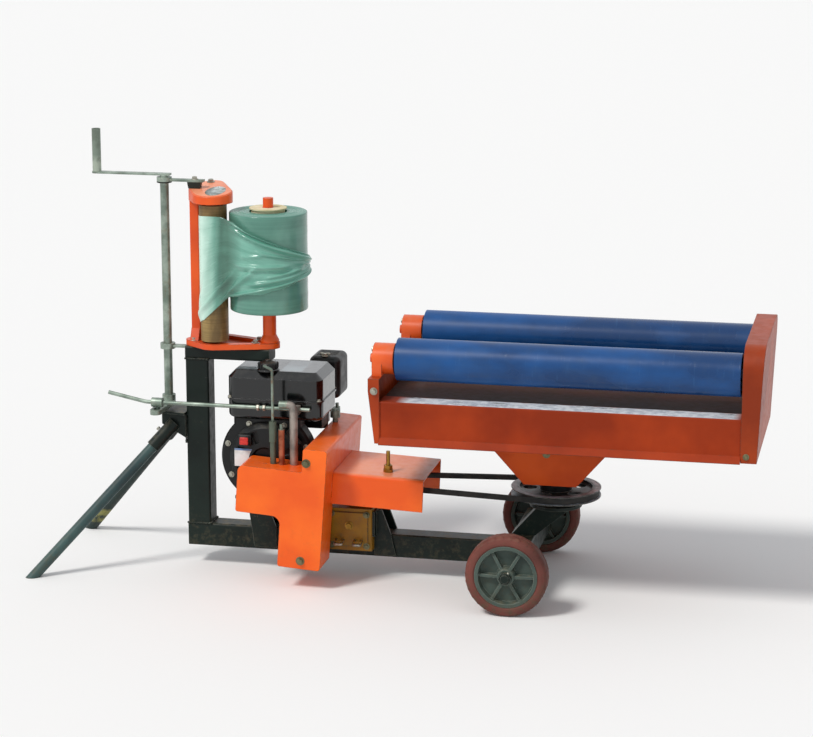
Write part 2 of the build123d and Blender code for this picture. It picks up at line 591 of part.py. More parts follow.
leg_run = (Vector(FOOT_X, FOOT_Y, 0) - LEG_TOP).length
shelf = slab_xy(outline([(MAST_X0, -46), (MAST_X0, 46), (CRANK_X - 20, 34), (CRANK_X - 20, -34)]), SHELF_Z,
                SHELF_Z + PLATE)
shelf += slab_xz(outline([(MAST_X0, SHELF_Z), (MAST_X0 - 52, SHELF_Z), (MAST_X0, SHELF_Z - 66)]), -PLATE / 2,
                 PLATE / 2)
socket = leg_bar(SOCKET_L, SOCKET_D) - leg_bar(SOCKET_L + 1, LEG_D + 2 * SEAT)
socket += leg_bar(6, SOCKET_D)
socket -= block(MAST_X0, MAST_X1, -100, 100, 0, 500)
web = slab_xz(outline([(MAST_X0, SHELF_Z), (MAST_X0 - 62, SHELF_Z), (MAST_X0 - 62, SHELF_Z - 26),
                       (MAST_X0, SHELF_Z - 60)]), LEG_TOP.Y - 4, LEG_TOP.Y + 4)
web -= leg_bar(SOCKET_L, LEG_D + 2 * SEAT)
parts["stand_bracket"] = shelf + both(socket + web)
leg = leg_bar(leg_run + 40, LEG_D) - leg_bar(leg_run + 41, LEG_D - 2 * LEG_WALL)
leg -= leg_bar(6 + SEAT, LEG_D + 4)
leg -= block(FOOT_X - 200, 0, -600, 600, -200, 0)
parts["stand_leg_near"] = mirror(leg, about=Plane.XZ)
parts["stand_leg_far"] = leg

# ---------------------------------------------------------------- film dispenser
STRETCH_X = ROLL_X - sqrt((ROLL_D / 2 + STRETCH_D / 2 + ROLL_GAP) ** 2 - STRETCH_Y ** 2)
REAR_SET = 20.0         # rear stretch roller set back towards the post
REAR_X = STRETCH_X - REAR_SET
REAR_Y = STRETCH_Y + sqrt((STRETCH_D / 2 + STRETCH_REAR_D / 2 + NIP) ** 2 - REAR_SET ** 2)
POST_X = STRETCH_X - STRETCH_D / 2 - 18
PIN_TOP = 10.0          # stretch roller shaft into its plates


base = slab_xy(hull_of((POST_X, 0, 29), (STRETCH_X, STRETCH_Y, 42), (REAR_X, REAR_Y, 36), (ROLL_X, 0, 26)),
               MAST_TOP, BASE_TOP)
base -= slab_xy(hull_of((STRETCH_X, STRETCH_Y, 20), (REAR_X, REAR_Y, 18), (ROLL_X - 20, 0, 12)),
                MAST_TOP + 5, BASE_TOP + 1)
for x, y, r in ((STRETCH_X, STRETCH_Y, 19), (REAR_X, REAR_Y, 17), (ROLL_X, 0, 24)):
    base += rod_z(x, y, MAST_TOP, BASE_TOP, 2 * r)
for side in (-1, 1):
    gusset = outline([(0, BASE_TOP), (side * (POST_W / 2 + 15), BASE_TOP), (side * POST_W / 2, BASE_TOP + 30),
                      (0, BASE_TOP + 30)])
    base += slab_yz(gusset, POST_X - POST_W / 2, POST_X + POST_W / 2 - 2)
post = slab_xy(Pos(POST_X, 0) * RectangleRounded(POST_W, POST_W, 3), BASE_TOP, CAP_Z)
base += post - block(POST_X - POST_W / 2 + SHEET, POST_X + POST_W / 2 - SHEET, -POST_W / 2 + SHEET,
                     POST_W / 2 - SHEET, BASE_TOP + 26, CAP_Z - SHEET)
CAP_H = 40.0
CAP_SLOPE = 7.0
CAP_REAR_R = 32.0
cap_plan = hull_of((POST_X, 0, 16), (STRETCH_X, STRETCH_Y, 50), (REAR_X, REAR_Y, CAP_REAR_R))
cap = slab_xy(cap_plan, CAP_Z, CAP_Z + CAP_H)


def above_cap(gap):
    """The space over the cap's sloping top."""
    return (Pos(STRETCH_X, REAR_Y + CAP_REAR_R, CAP_Z + CAP_H) * Rot(CAP_SLOPE, 0, 0) * Pos(0, 0, 100 + gap)
            * Box(400, 600, 200))


cap -= above_cap(0)
cap = chamfer(cap.faces().sort_by(Axis.Z)[-1].edges(), 3)
for x, y, d in ((STRETCH_X, STRETCH_Y, STRETCH_D), (REAR_X, REAR_Y, STRETCH_REAR_D)):
    name = "front" if d == STRETCH_D else "rear"
    roller = rod_z(x, y, BASE_TOP + RUN, CAP_Z - RUN, d)
    roller -= rod_z(x, y, BASE_TOP + RUN - 1, BASE_TOP + RUN + 5, d - 14)
    roller += rod_z(x, y, BASE_TOP - PIN_TOP, CAP_Z + PIN_TOP, STRETCH_SHAFT_D)
    parts["stretch_roller_" + name] = roller
    bore = rod_z(x, y, BASE_TOP - PIN_TOP - SEAT, CAP_Z + PIN_TOP + SEAT, STRETCH_SHAFT_D + 2 * FIT)
    base -= bore
    cap -= bore
parts["dispenser_frame"] = base
parts["gear_cap"] = cap

KNOB_D = SPINDLE_D - 4
CORE_LIP = 5.0
CORE_Z1 = FILM_Z + FILM_H + 10
KNOB_H = 22.0
spindle = turned([(0, BASE_TOP), (24, BASE_TOP), (24, BASE_TOP + 6), (17, BASE_TOP + 20), (17, FILM_Z - 4),
                  (24, FILM_Z - 4), (24, FILM_Z - SEAT), (SPINDLE_D / 2, FILM_Z - SEAT),
                  (SPINDLE_D / 2, CORE_Z1 - 2), (KNOB_D / 2, CORE_Z1 - 2), (KNOB_D / 2, CORE_Z1 + KNOB_H),
                  (0, CORE_Z1 + KNOB_H)])
parts["roll_spindle"] = Pos(ROLL_X, 0, 0) * spindle
core = turned([(SPINDLE_D / 2 + FIT, FILM_Z), (CORE_D / 2, FILM_Z), (CORE_D / 2, CORE_Z1 - CORE_LIP),
               (CORE_D / 2 + 5, CORE_Z1 - CORE_LIP), (CORE_D / 2 + 5, CORE_Z1 - 2), (SPINDLE_D / 2 + FIT, CORE_Z1 - 2)])
parts["film_core"] = Pos(ROLL_X, 0, 0) * core
roll = turned([(CORE_D / 2 + 0.1, FILM_Z), (ROLL_D / 2, FILM_Z), (ROLL_D / 2, FILM_Z + FILM_H),
               (CORE_D / 2 + 0.1, FILM_Z + FILM_H)])
rims = roll.edges().filter_by(GeomType.CIRCLE).sort_by(SortBy.RADIUS)[-2:]
parts["film_roll"] = Pos(ROLL_X, 0, 0) * chamfer(rims, 2)

# Film web: from the front stretch roller across the roll's near side, tapering to a tail.
WEB_FILM_T = 2.0
WEB_GAP = 0.6
TAIL_Z0, TAIL_Z1 = FILM_Z + 98, FILM_Z + 140


def web_loop(grow):
    return hull_of((STRETCH_X, STRETCH_Y, STRETCH_D / 2 + grow), (ROLL_X, 0, ROLL_D / 2 + grow))


web_face = web_loop(WEB_GAP + WEB_FILM_T) - web_loop(WEB_GAP) - Pos(ROLL_X, 200) * Rectangle(600, 400)
film = slab_xy(web_face, FILM_Z, FILM_Z + FILM_H)
tail = outline([(STRETCH_X - 100, FILM_Z), (STRETCH_X + 10, FILM_Z), (ROLL_X + 130, TAIL_Z0), (ROLL_X + 130, TAIL_Z1),
                (STRETCH_X + 10, FILM_Z + FILM_H), (STRETCH_X - 100, FILM_Z + FILM_H)])
parts["film_web"] = film & slab_xz(tail, -200, 20)

# ---------------------------------------------------------------- clutch control
GRIP_H = 108.0
crank = rod_z(CRANK_X, 0, CRANK_FOOT, CRANK_TOP, CRANK_D)
crank += block(CRANK_X - CRANK_ARM, CRANK_X + 16, -10, 10, CRANK_TOP, CRANK_TOP + 5)
crank = chamfer(crank.edges().filter_by(Axis.Z).sort_by(Axis.X)[:2], 6)
lever = hull_of((CRANK_X, 0, 17), (CRANK_X, ROD_Y - 16, 14))
lever_slot = Pos(CRANK_X, ROD_Y - 5) * Rot(0, 0, 90) * SlotOverall(27, LEVER_PIN_D + 6)
crank += slab_xy(lever - lever_slot, CRANK_FOOT - 12, CRANK_FOOT)
crank += rod_z(CRANK_X, 0, CRANK_FOOT, CRANK_FOOT + 14, CRANK_D + 12)
parts["crank_shaft"] = crank
GRIP_X = CRANK_X - CRANK_ARM + 12
grip = rod_z(GRIP_X, 0, CRANK_TOP + 5, CRANK_TOP + 5 + GRIP_H, CRANK_D)
parts["crank_grip"] = grip - rod_z(GRIP_X, 0, CRANK_TOP + 10, CRANK_TOP + 6 + GRIP_H, CRANK_D - 5)
ROD_X1 = GUIDE_X + 34
rod = bent_rod([(CRANK_X - ROD_TAIL, ROD_Y, ROD_Z + 20), (CRANK_X - 30, ROD_Y, ROD_Z), (ROD_X1, ROD_Y, ROD_Z)], 60,
               ROD_D)
rod += rod_x(ROD_Y, ROD_Z, CRANK_X - 14, CRANK_X + 14, 24)
rod += rod_z(CRANK_X, ROD_Y, CRANK_FOOT - 16, ROD_Z, LEVER_PIN_D)
parts["clutch_rod"] = rod
RING_D = CRANK_D + 16
STRAP_HALF = 9.0
STRAP_H = 14.0
STRAP_LOW = 4.0         # flat bar above the underside of the ring
STOOL_TOP = STRAP_Z + STRAP_LOW + 1
stool = slab_xz(outline([(POST_X - 9, CAP_Z), (POST_X + 9, CAP_Z), (POST_X + 18, STOOL_TOP), (POST_X - 18, STOOL_TOP)]),
                -8, 8) & above_cap(SEAT)
straps = []
for z0, x1 in ((STRAP_Z, POST_X + 24), (MAST_TOP - 14, MAST_X0)):
    strap = rod_z(CRANK_X, 0, z0, z0 + STRAP_H, RING_D)
    strap += block(CRANK_X, x1, -STRAP_HALF, STRAP_HALF, z0 + STRAP_LOW, z0 + STRAP_H - STRAP_LOW)
    if z0 == STRAP_Z:
        strap += stool      # stands on the gear cap, over the post
    strap -= rod_z(CRANK_X, 0, z0 - 1, z0 + STRAP_H + 1, CRANK_D + 2 * FIT)
    straps += strap.solids()
parts["crank_straps"] = Compound(straps)

# ---------------------------------------------------------------- bale table
HOPPER_BASE = 130.0
HOPPER_Y = 105.0
HOPPER_TOP_X = 183.0
FLOOR_Z = TABLE_Z + 20
EX0, EX1 = TABLE_X0 + END_T, TABLE_X1 - CASE_T


def funnel(inset, z0, z1):
    low = Pos(0, 0, z0) * Rectangle(HOPPER_BASE - 2 * inset, 2 * (HOPPER_Y - inset))
    high = Pos(0, 0, z1) * Rectangle(2 * (HOPPER_TOP_X - inset), 2 * (HOPPER_Y + 20 - inset))
    return loft([low, high])


hopper = funnel(0, HUB_TOP, FLOOR_Z) - funnel(PLATE, HUB_TOP + PLATE, FLOOR_Z + 0.1)
hopper -= rod_z(0, 0, HUB_TOP - 1, FLOOR_Z, KINGPIN_D + 2 * FIT)
sleeve = rod_z(0, 0, HUB_TOP, TABLE_Z - 24, 2 * HUB_PULLEY_R - 16)
hopper += sleeve - rod_z(0, 0, HUB_TOP - 1, TABLE_Z, KINGPIN_D + 2 * FIT)
parts["table_pedestal"] = hopper
LIP = 16.0
apron = slab_yz(outline([(-TABLE_HALF_W, TABLE_Z + LIP), (-TABLE_HALF_W - LIP, TABLE_Z),
                         (-TABLE_HALF_W - LIP + APRON_T * 1.4, TABLE_Z), (-TABLE_HALF_W + APRON_T, TABLE_Z + LIP - 1.5),
                         (-TABLE_HALF_W + APRON_T, DECK_Z - APRON_T), (-TABLE_HALF_W + 58, DECK_Z - APRON_T),
                         (-TABLE_HALF_W + 58, DECK_Z), (-TABLE_HALF_W, DECK_Z)]), EX0, EX1)
top_edges = apron.edges().filter_by(Axis.X).filter_by_position(Axis.Z, DECK_Z - 1, DECK_Z + 1)
apron = fillet(top_edges.sort_by(Axis.Y)[:1], 5)
parts["table_front_apron"] = apron
parts["table_rear_apron"] = mirror(apron, about=Plane.XZ)
APRON_IN = TABLE_HALF_W - APRON_T
parts["table_floor"] = block(EX0, EX1, -APRON_IN, APRON_IN, FLOOR_Z, FLOOR_Z + 4)
DECK_HALF = TABLE_HALF_W - 58 - SEAT
deck = block(EX0, EX1, -DECK_HALF, DECK_HALF, DECK_Z - APRON_T, DECK_Z - APRON_T + 2)
parts["deck_plate"] = deck
# Left end: a folded tray whose outer face slopes in towards its foot, with a roller bearing at each side.
END_TOP = DECK_Z + 55
DRUM_D = 76.0
END_LEAN = 16.0
end_x0 = TABLE_X0 + SHEET
end_half = TABLE_HALF_W + 2
end_face = outline([(TABLE_X0, END_TOP), (TABLE_X0, END_TOP - 30), (TABLE_X0 + END_LEAN, TABLE_Z), (EX0, TABLE_Z),
                    (EX0, END_TOP)])
end_cut = outline([(end_x0, END_TOP - SHEET), (end_x0, END_TOP - 30), (end_x0 + END_LEAN, TABLE_Z - 1),
                   (EX0 + 1, TABLE_Z - 1), (EX0 + 1, END_TOP - SHEET)])
left = slab_xz(end_face, -end_half, end_half)
left -= slab_xz(end_cut, -end_half + SHEET, end_half - SHEET)
drums = None
for y in (-ROLLER_Y, ROLLER_Y):
    drum = rod_x(y, ROLLER_Z, TABLE_X0 + 4, EX0 + 28, DRUM_D)
    drum += block(TABLE_X0 + 4, EX0, y - DRUM_D / 2, y + DRUM_D / 2, END_TOP, ROLLER_Z)
    drum -= rod_x(y, ROLLER_Z, TABLE_X0 + 10, EX0 + 29, ROLLER_SHAFT_D + 2 * FIT)
    drum += rod_x(y, ROLLER_Z, TABLE_X0 - 6, TABLE_X0 + 4, 22)
    drums = drum if drums is None else drums + drum
parts["table_left_end"] = left
parts["roller_bearings"] = drums
CASE_HALF_Y = TABLE_HALF_W + 4
CASE_R = 62.0


def case_body(inset):
    """Chain case: arched end profile, outer face leaning in towards its foot."""
    w = CASE_HALF_Y - inset
    r = CASE_R - inset
    face = outline([(-w, TABLE_Z - inset), (w, TABLE_Z - inset), (w, CASE_TOP - inset), (-w, CASE_TOP - inset)],
                   [1, 1, r, r])
    body = slab_yz(face, EX1 + inset, TABLE_X1)
    lean_cut = outline([(TABLE_X1 - 14 - inset, TABLE_Z - 50), (TABLE_X1 - inset, CASE_TOP + 1),
                        (TABLE_X1 + 50, CASE_TOP + 1), (TABLE_X1 + 50, TABLE_Z - 50)])
    return body - slab_xz(lean_cut, -CASE_HALF_Y - 1, CASE_HALF_Y + 1)


chain_case = case_body(0) - case_body(SHEET)
for y in (-ROLLER_Y, ROLLER_Y):
    chain_case += rod_x(y, ROLLER_Z, EX1, TABLE_X1 - 10, ROLLER_SHAFT_D + 16)
    chain_case -= rod_x(y, ROLLER_Z, EX1 - 1, TABLE_X1 - 12, ROLLER_SHAFT_D + 2 * FIT)
parts["chain_case"] = chain_case

ROLLER_X0, ROLLER_X1 = EX0 + 28 + 6, EX1 - 6
for name, y in (("front", -ROLLER_Y), ("rear", ROLLER_Y)):
    roller = rod_x(y, ROLLER_Z, ROLLER_X0, ROLLER_X1, ROLLER_D)
    roller -= rod_x(y, ROLLER_Z, ROLLER_X0, ROLLER_X1, ROLLER_D - 2 * ROLLER_WALL)
    for x in (ROLLER_X0 + 6, ROLLER_X1 - 12):
        roller += rod_x(y, ROLLER_Z, x, x + 6, ROLLER_D - ROLLER_WALL)
    roller += rod_x(y, ROLLER_Z, TABLE_X0 + 14, TABLE_X1 - 16, ROLLER_SHAFT_D)
    parts["bale_roller_" + name] = roller

# ---------------------------------------------------------------- place and write
box = Compound(children=[Compound(p.solids()) for p in parts.values()]).bounding_box()
SHIFT = Vector(-(box.min.X + box.max.X) / 2, -(box.min.Y + box.max.Y) / 2, -box.min.Z)
for node, shape in parts.items():
    export_step(Pos(SHIFT.X, SHIFT.Y, SHIFT.Z) * Compound(shape.solids()), "parts/" + node + ".step")
print("shift", SHIFT, "size", box.size)
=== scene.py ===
import json
import math
import random

import bmesh
import bpy
from mathutils import Matrix, Vector, noise
from mathutils.bvhtree import BVHTree


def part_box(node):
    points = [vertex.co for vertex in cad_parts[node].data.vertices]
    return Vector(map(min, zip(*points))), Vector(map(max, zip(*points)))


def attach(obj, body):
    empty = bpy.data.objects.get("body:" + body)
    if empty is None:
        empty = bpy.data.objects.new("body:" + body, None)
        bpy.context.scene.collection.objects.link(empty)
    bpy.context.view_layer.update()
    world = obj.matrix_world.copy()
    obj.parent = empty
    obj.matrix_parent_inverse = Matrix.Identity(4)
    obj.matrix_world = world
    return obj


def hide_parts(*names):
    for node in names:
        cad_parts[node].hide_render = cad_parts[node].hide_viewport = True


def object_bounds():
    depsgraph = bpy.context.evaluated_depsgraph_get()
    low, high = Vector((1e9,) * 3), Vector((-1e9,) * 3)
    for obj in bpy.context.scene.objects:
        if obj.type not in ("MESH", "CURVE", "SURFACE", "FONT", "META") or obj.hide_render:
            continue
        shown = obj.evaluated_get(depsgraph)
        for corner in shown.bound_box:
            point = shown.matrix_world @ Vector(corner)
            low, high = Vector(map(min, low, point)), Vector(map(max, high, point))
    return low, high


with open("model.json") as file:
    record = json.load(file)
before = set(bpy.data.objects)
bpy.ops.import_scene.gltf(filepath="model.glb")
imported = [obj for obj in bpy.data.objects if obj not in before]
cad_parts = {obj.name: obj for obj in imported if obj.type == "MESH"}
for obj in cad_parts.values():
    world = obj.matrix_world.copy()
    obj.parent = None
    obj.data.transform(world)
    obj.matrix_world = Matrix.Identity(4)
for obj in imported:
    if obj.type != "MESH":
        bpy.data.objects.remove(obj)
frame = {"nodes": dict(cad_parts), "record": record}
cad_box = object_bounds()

# Viewpoint.
# The machine is seen from its working side, a little from the turntable end and from above, through a long lens.
aim = Vector((0.018, 0.0, 0.535))
seen_from, seen_above, stand_off = math.radians(12), math.radians(13), 6.237
viewer = bpy.data.objects.new("viewpoint", bpy.data.cameras.new("viewpoint"))
bpy.context.collection.objects.link(viewer)
away = Vector((math.sin(seen_from) * math.cos(seen_above), -math.cos(seen_from) * math.cos(seen_above),
               math.sin(seen_above)))
viewer.location = aim + away * stand_off
viewer.rotation_euler = (-away).to_track_quat("-Z", "Y").to_euler()
viewer.data.sensor_width = 36.0
viewer.data.lens = 110.7
viewer.data.clip_end = 200.0
bpy.context.scene.camera = viewer
bpy.context.scene.view_settings.view_transform = "Standard"


# Studio floor and light.
# A pale matt floor under an even white sky, with one soft lamp high in front, on the stand's side. The sky lights
# the machine at less than the strength at which it shows.
def linear(code):
    """Linear colour for the shaders from an sRGB hex code."""
    steps = [int(code[i:i + 2], 16) / 255 for i in (1, 3, 5)]
    return tuple(s / 12.92 if s <= 0.04045 else ((s + 0.055) / 1.055) ** 2.4 for s in steps) + (1.0,)


def feed(tree, socket, value):
    """Joins an input to another node's output, or sets it to a plain value or an sRGB hex colour."""
    if isinstance(value, bpy.types.NodeSocket):
        tree.links.new(value, socket)
    else:
        socket.default_value = linear(value) if isinstance(value, str) else value


def wire(tree, kind, *values, out=0, **settings):
    """Adds a shader node with its settings, fills the inputs that it uses, in order or from a dict by name, and
    gives back one of the outputs that it uses."""
    node = tree.nodes.new("ShaderNode" + kind)
    for name, value in settings.items():
        setattr(node, name, value)
    inputs = [socket for socket in node.inputs if socket.enabled]
    given = values[0] if values and isinstance(values[0], dict) else dict(enumerate(values))
    for place, value in given.items():
        feed(tree, node.inputs[place] if isinstance(place, str) else inputs[place], value)
    return node.outputs[out] if isinstance(out, str) else [socket for socket in node.outputs if socket.enabled][out]


sky = bpy.data.worlds.new("studio_sky")
sky.use_nodes = True
bpy.context.scene.world = sky
shown_to = [wire(sky.node_tree, "LightPath", out=ray) for ray in ("Is Camera Ray", "Is Transmission Ray",
                                                                  "Is Glossy Ray")]
seen = wire(sky.node_tree, "Math", *shown_to[:2], operation="MAXIMUM")
seen = wire(sky.node_tree, "Math", seen, shown_to[2], operation="MAXIMUM")
sky_light, sky_shown = 0.58, 1.0
backdrop = sky.node_tree.nodes["Background"]
feed(sky.node_tree, backdrop.inputs["Strength"], wire(sky.node_tree, "MapRange", seen, 0.0, 1.0, sky_light, sky_shown))
feed(sky.node_tree, backdrop.inputs["Color"], "#f7f9fc")
lamp = bpy.data.objects.new("soft_lamp", bpy.data.lights.new("soft_lamp", "SUN"))
lamp.data.energy = 1.9
lamp.data.angle = math.radians(14)
lamp.data.color = (1.0, 0.98, 0.94)
lamp.rotation_euler = Vector((-0.4, -0.5, 0.77)).to_track_quat("Z", "Y").to_euler()
bpy.context.collection.objects.link(lamp)
floor_reach, floor_gap = 30.0, 0.0005
floor_mesh = bpy.data.meshes.new("studio_floor")
form = bmesh.new()
bmesh.ops.create_grid(form, x_segments=1, y_segments=1, size=floor_reach)
form.to_mesh(floor_mesh)
form.free()
floor = bpy.data.objects.new("studio_floor", floor_mesh)
floor.location.z = cad_box[0].z - floor_gap
bpy.context.collection.objects.link(floor)
pale = bpy.data.materials.new("matt_floor")
pale.use_nodes = True
for name, value in (("Base Color", "#f8f8f8"), ("Roughness", 0.9), ("Specular IOR Level", 0.1)):
    feed(pale.node_tree, pale.node_tree.nodes["Principled BSDF"].inputs[name], value)
floor_mesh.materials.append(pale)


# Chassis: base beam, mast and its arm, axle beam, brackets and engine bed.
# Square steel tube and flat plate, welded and brushed with dark green enamel, which is muddy low down and
# chipped along its edges. The weld beads stand proud at each joint.
def mottle(tree, scale, detail, stretch=(1, 1, 1), rough=0.55):
    """Cloudy pattern on the piece, from 0 to 1."""
    placed = wire(tree, "Mapping", {"Vector": wire(tree, "TexCoord", out="Object"), "Scale": stretch})
    return wire(tree, "TexNoise", {"Vector": placed, "Scale": scale, "Detail": detail, "Roughness": rough})


def patchy(tree, scale, detail, low, high, first=0.0, last=1.0, **more):
    """A mask in cloudy patches: first where the pattern is below low, last where it is above high."""
    return wire(tree, "MapRange", mottle(tree, scale, detail, **more), low, high, first, last)


def two_toned(tree, dark, light, scale, detail, low, high):
    """A colour that drifts between two tones in cloudy patches."""
    return wire(tree, "Mix", patchy(tree, scale, detail, low, high), dark, light, data_type="RGBA")


def both(tree, first, second):
    """A mask that is on where each of two values has passed the range that is given with it."""
    return wire(tree, "Math", wire(tree, "MapRange", *first), wire(tree, "MapRange", *second), operation="MULTIPLY")


def within(tree, value, rise, fall):
    """A mask that is on between two limits of a value, and fades in and out at them."""
    return both(tree, (value, *rise), (value, *fall))


def facing(tree, axis):
    """How far the surface faces along an axis."""
    return wire(tree, "SeparateXYZ", wire(tree, "NewGeometry", out="Normal"), out=axis)


def spot_of(tree, axis):
    """Where the surface is along an axis, in metres."""
    return wire(tree, "SeparateXYZ", wire(tree, "TexCoord", out="Object"), out=axis)


def new_finish(name, **plain):
    """A new finish with its shader, and the shader's plain values."""
    finish = bpy.data.materials.new(name)
    finish.use_nodes = True
    shader = finish.node_tree.nodes["Principled BSDF"]
    give(finish.node_tree, shader, **plain)
    return finish, finish.node_tree, shader


def give(tree, shader, **inputs):
    """Fills the shader's inputs; an underscore in a name stands for a space."""
    for name, value in inputs.items():
        feed(tree, shader.inputs[name.replace("_", " ")], value)


def raised(tree, height, strength, depth, edge=0.0):
    """Light on a surface that a pattern raises, with its edges rounded to a radius."""
    bump = {"Strength": strength, "Distance": depth, "Height": height}
    if edge:
        bump["Normal"] = wire(tree, "Bevel", edge, samples=5)
    return wire(tree, "Bump", bump)


def enamel(name, dark, main, worn, gloss=0.4, dust=0.3, mud=0.0, chipped=0.5, streaks=0.3, shine=0.3, varnish=0.05,
           patch=None):
    """Paint on steel: uneven tone, orange peel, dust on top, mud low down, scuffs, and chips on the edges.
    patch is a function that lays one more colour over the paint."""
    finish, tree, shader = new_finish(name, Coat_Weight=varnish, Coat_Roughness=0.1, Specular_IOR_Level=shine)
    rounded = wire(tree, "Bevel", 0.0026, samples=5)
    edge = wire(tree, "VectorMath", rounded, wire(tree, "NewGeometry", out="Normal"), operation="DOT_PRODUCT")
    edge = wire(tree, "MapRange", edge, 0.995, 0.86)
    colour = two_toned(tree, dark, main, 5.0, 4, 0.38, 0.62)
    rain = patchy(tree, 9.0, 3, 0.52, 0.75, 0.0, streaks, stretch=(4.0, 4.0, 0.5))
    colour = wire(tree, "Mix", rain, colour, dark, data_type="RGBA")
    grit = patchy(tree, 60.0, 5, 0.42, 0.72)
    lying = wire(tree, "Math", wire(tree, "MapRange", facing(tree, 2), 0.3, 0.95), grit, operation="MULTIPLY")
    colour = wire(tree, "Mix", wire(tree, "Math", lying, dust, operation="MULTIPLY"), colour, "#a89a7e",
                  data_type="RGBA")
    if mud:
        low = wire(tree, "MapRange", spot_of(tree, 2), 0.24, 0.03, 0.0, 0.16)
        splash = wire(tree, "Math", mottle(tree, 55.0, 9, rough=0.75), low, operation="ADD")
        splash = wire(tree, "MapRange", splash, 0.62, 0.8, 0.0, mud)
        colour = wire(tree, "Mix", splash, colour, "#4e4a38", data_type="RGBA")
    scuff = patchy(tree, 34.0, 6, 0.69, 0.73, 0.0, 0.55 * chipped, stretch=(0.6, 0.6, 3.0), rough=0.7)
    chips = wire(tree, "Math", edge, 0.42 * chipped, mottle(tree, 75.0, 5), operation="MULTIPLY_ADD")
    bare = both(tree, (chips, 0.66, 0.7), (edge, 0.1, 0.45))
    for mask in (scuff, bare):
        colour = wire(tree, "Mix", mask, colour, worn, data_type="RGBA")
    if patch:
        colour = patch(tree, colour)
    peel = wire(tree, "Math", mottle(tree, 420.0, 2), 0.25, mottle(tree, 14.0, 2), operation="MULTIPLY_ADD")
    peel = wire(tree, "Math", bare, -0.3, peel, operation="MULTIPLY_ADD")
    give(tree, shader, Base_Color=colour, Roughness=wire(tree, "MapRange", grit, 0.0, 1.0, gloss, gloss + 0.16),
         Normal=wire(tree, "Bump", {"Strength": 0.22, "Distance": 0.0015, "Height": peel, "Normal": rounded}))
    return finish


def coat(finish, *nodes):
    """Puts a finish on every material slot of these nodes."""
    for node in nodes:
        for slot in frame["nodes"][node].material_slots:
            slot.link = "OBJECT"
            slot.material = finish


def laid(at, along=(0, 0, 1)):
    """Places a shape drawn about Z at a point, with its Z along a direction."""
    return Matrix.Translation(Vector(at)) @ Vector((0, 0, 1)).rotation_difference(Vector(along)).to_matrix().to_4x4()


def add_to(form, part, at, along=(0, 0, 1)):
    """Adds a small part drawn about Z to a larger form."""
    bmesh.ops.remove_doubles(part, verts=part.verts, dist=1e-6)
    bmesh.ops.recalc_face_normals(part, faces=part.faces)
    part.transform(laid(at, along))
    carrier = bpy.data.meshes.new("carrier")
    part.to_mesh(carrier)
    part.free()
    form.from_mesh(carrier)
    bpy.data.meshes.remove(carrier)


def made_piece(name, form, body, finish, crease=34.0):
    """Turns a form into a piece that rides on a body, smooth but for its sharp edges."""
    mesh = bpy.data.meshes.new(name)
    form.to_mesh(mesh)
    form.free()
    mesh.shade_smooth()
    mesh.set_sharp_from_angle(angle=math.radians(crease))
    mesh.materials.append(finish)
    made = bpy.data.objects.new(name, mesh)
    bpy.context.collection.objects.link(made)
    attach(made, body)
    return made


def fitted(name, parts, body, finish, crease=34.0):
    """One piece of several small parts, each given with its point and, unless that is up, the way that it faces."""
    form = bmesh.new()
    for part in parts:
        add_to(form, *part)
    return made_piece(name, form, body, finish, crease)


def middle(node):
    """The middle of a node's box."""
    low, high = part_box(node)
    return (low + high) / 2


def weld(form, start, end, size=0.0035):
    """A run of overlapping beads between two points."""
    start, end = Vector(start), Vector(end)
    count = max(2, int((end - start).length / (size * 1.1)))
    for k in range(count + 1):
        at = start.lerp(end, k / count)
        swell = size * (0.9 + 0.2 * math.sin(k * 2.3) * math.cos(k * 0.7))
        bmesh.ops.create_uvsphere(form, u_segments=8, v_segments=5, radius=swell,
                                  matrix=laid(at, end - start) @ Matrix.Diagonal((1, 1, 0.7, 1)))


green_enamel = enamel("dark_green_enamel", "#0c1512", "#14211c", "#5f635a", gloss=0.42, dust=0.35, mud=0.55,
                      chipped=0.8, shine=0.2)
coat(green_enamel, "base_beam", "mast_post", "mast_arm", "axle_beam", "turntable_pedestal", "gearbox_bracket",
     "engine_bed", "stand_bracket")
post_low, post_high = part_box("mast_post")
beam_low, beam_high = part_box("base_beam")
arm_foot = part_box("mast_arm")[0].z
thick_bead, half_tube = 0.0045, 0.03
form = bmesh.new()
for side in (post_low.y, post_high.y):
    for z in (beam_high.z, arm_foot):
        weld(form, (post_low.x, side, z), (post_high.x, side, z))
for z in (beam_high.z, arm_foot):
    weld(form, (post_high.x, post_low.y, z), (post_high.x, post_high.y, z), thick_bead)
joint_x = middle("axle_beam").x - half_tube
weld(form, (joint_x, beam_low.y, beam_high.z), (joint_x, beam_high.y, beam_high.z), thick_bead)
for side in (beam_low.y, beam_high.y):
    weld(form, (joint_x, side, beam_low.z + 0.02), (joint_x, side, beam_high.z))
made_piece("frame_welds", form, "chassis", green_enamel, 60)


corner_reach = 0.577  # a hexagon's corner radius, for a width of 1 across its flats
washer_tall, washer_ratio = 0.0016, 1.7


def blunt(part, edges, by, steps=1):
    """Cuts some edges of a form off, or rounds them in several steps."""
    bmesh.ops.bevel(part, geom=edges, offset=by, offset_type="OFFSET", segments=steps, profile=0.5, affect="EDGES",
                    material=-1)


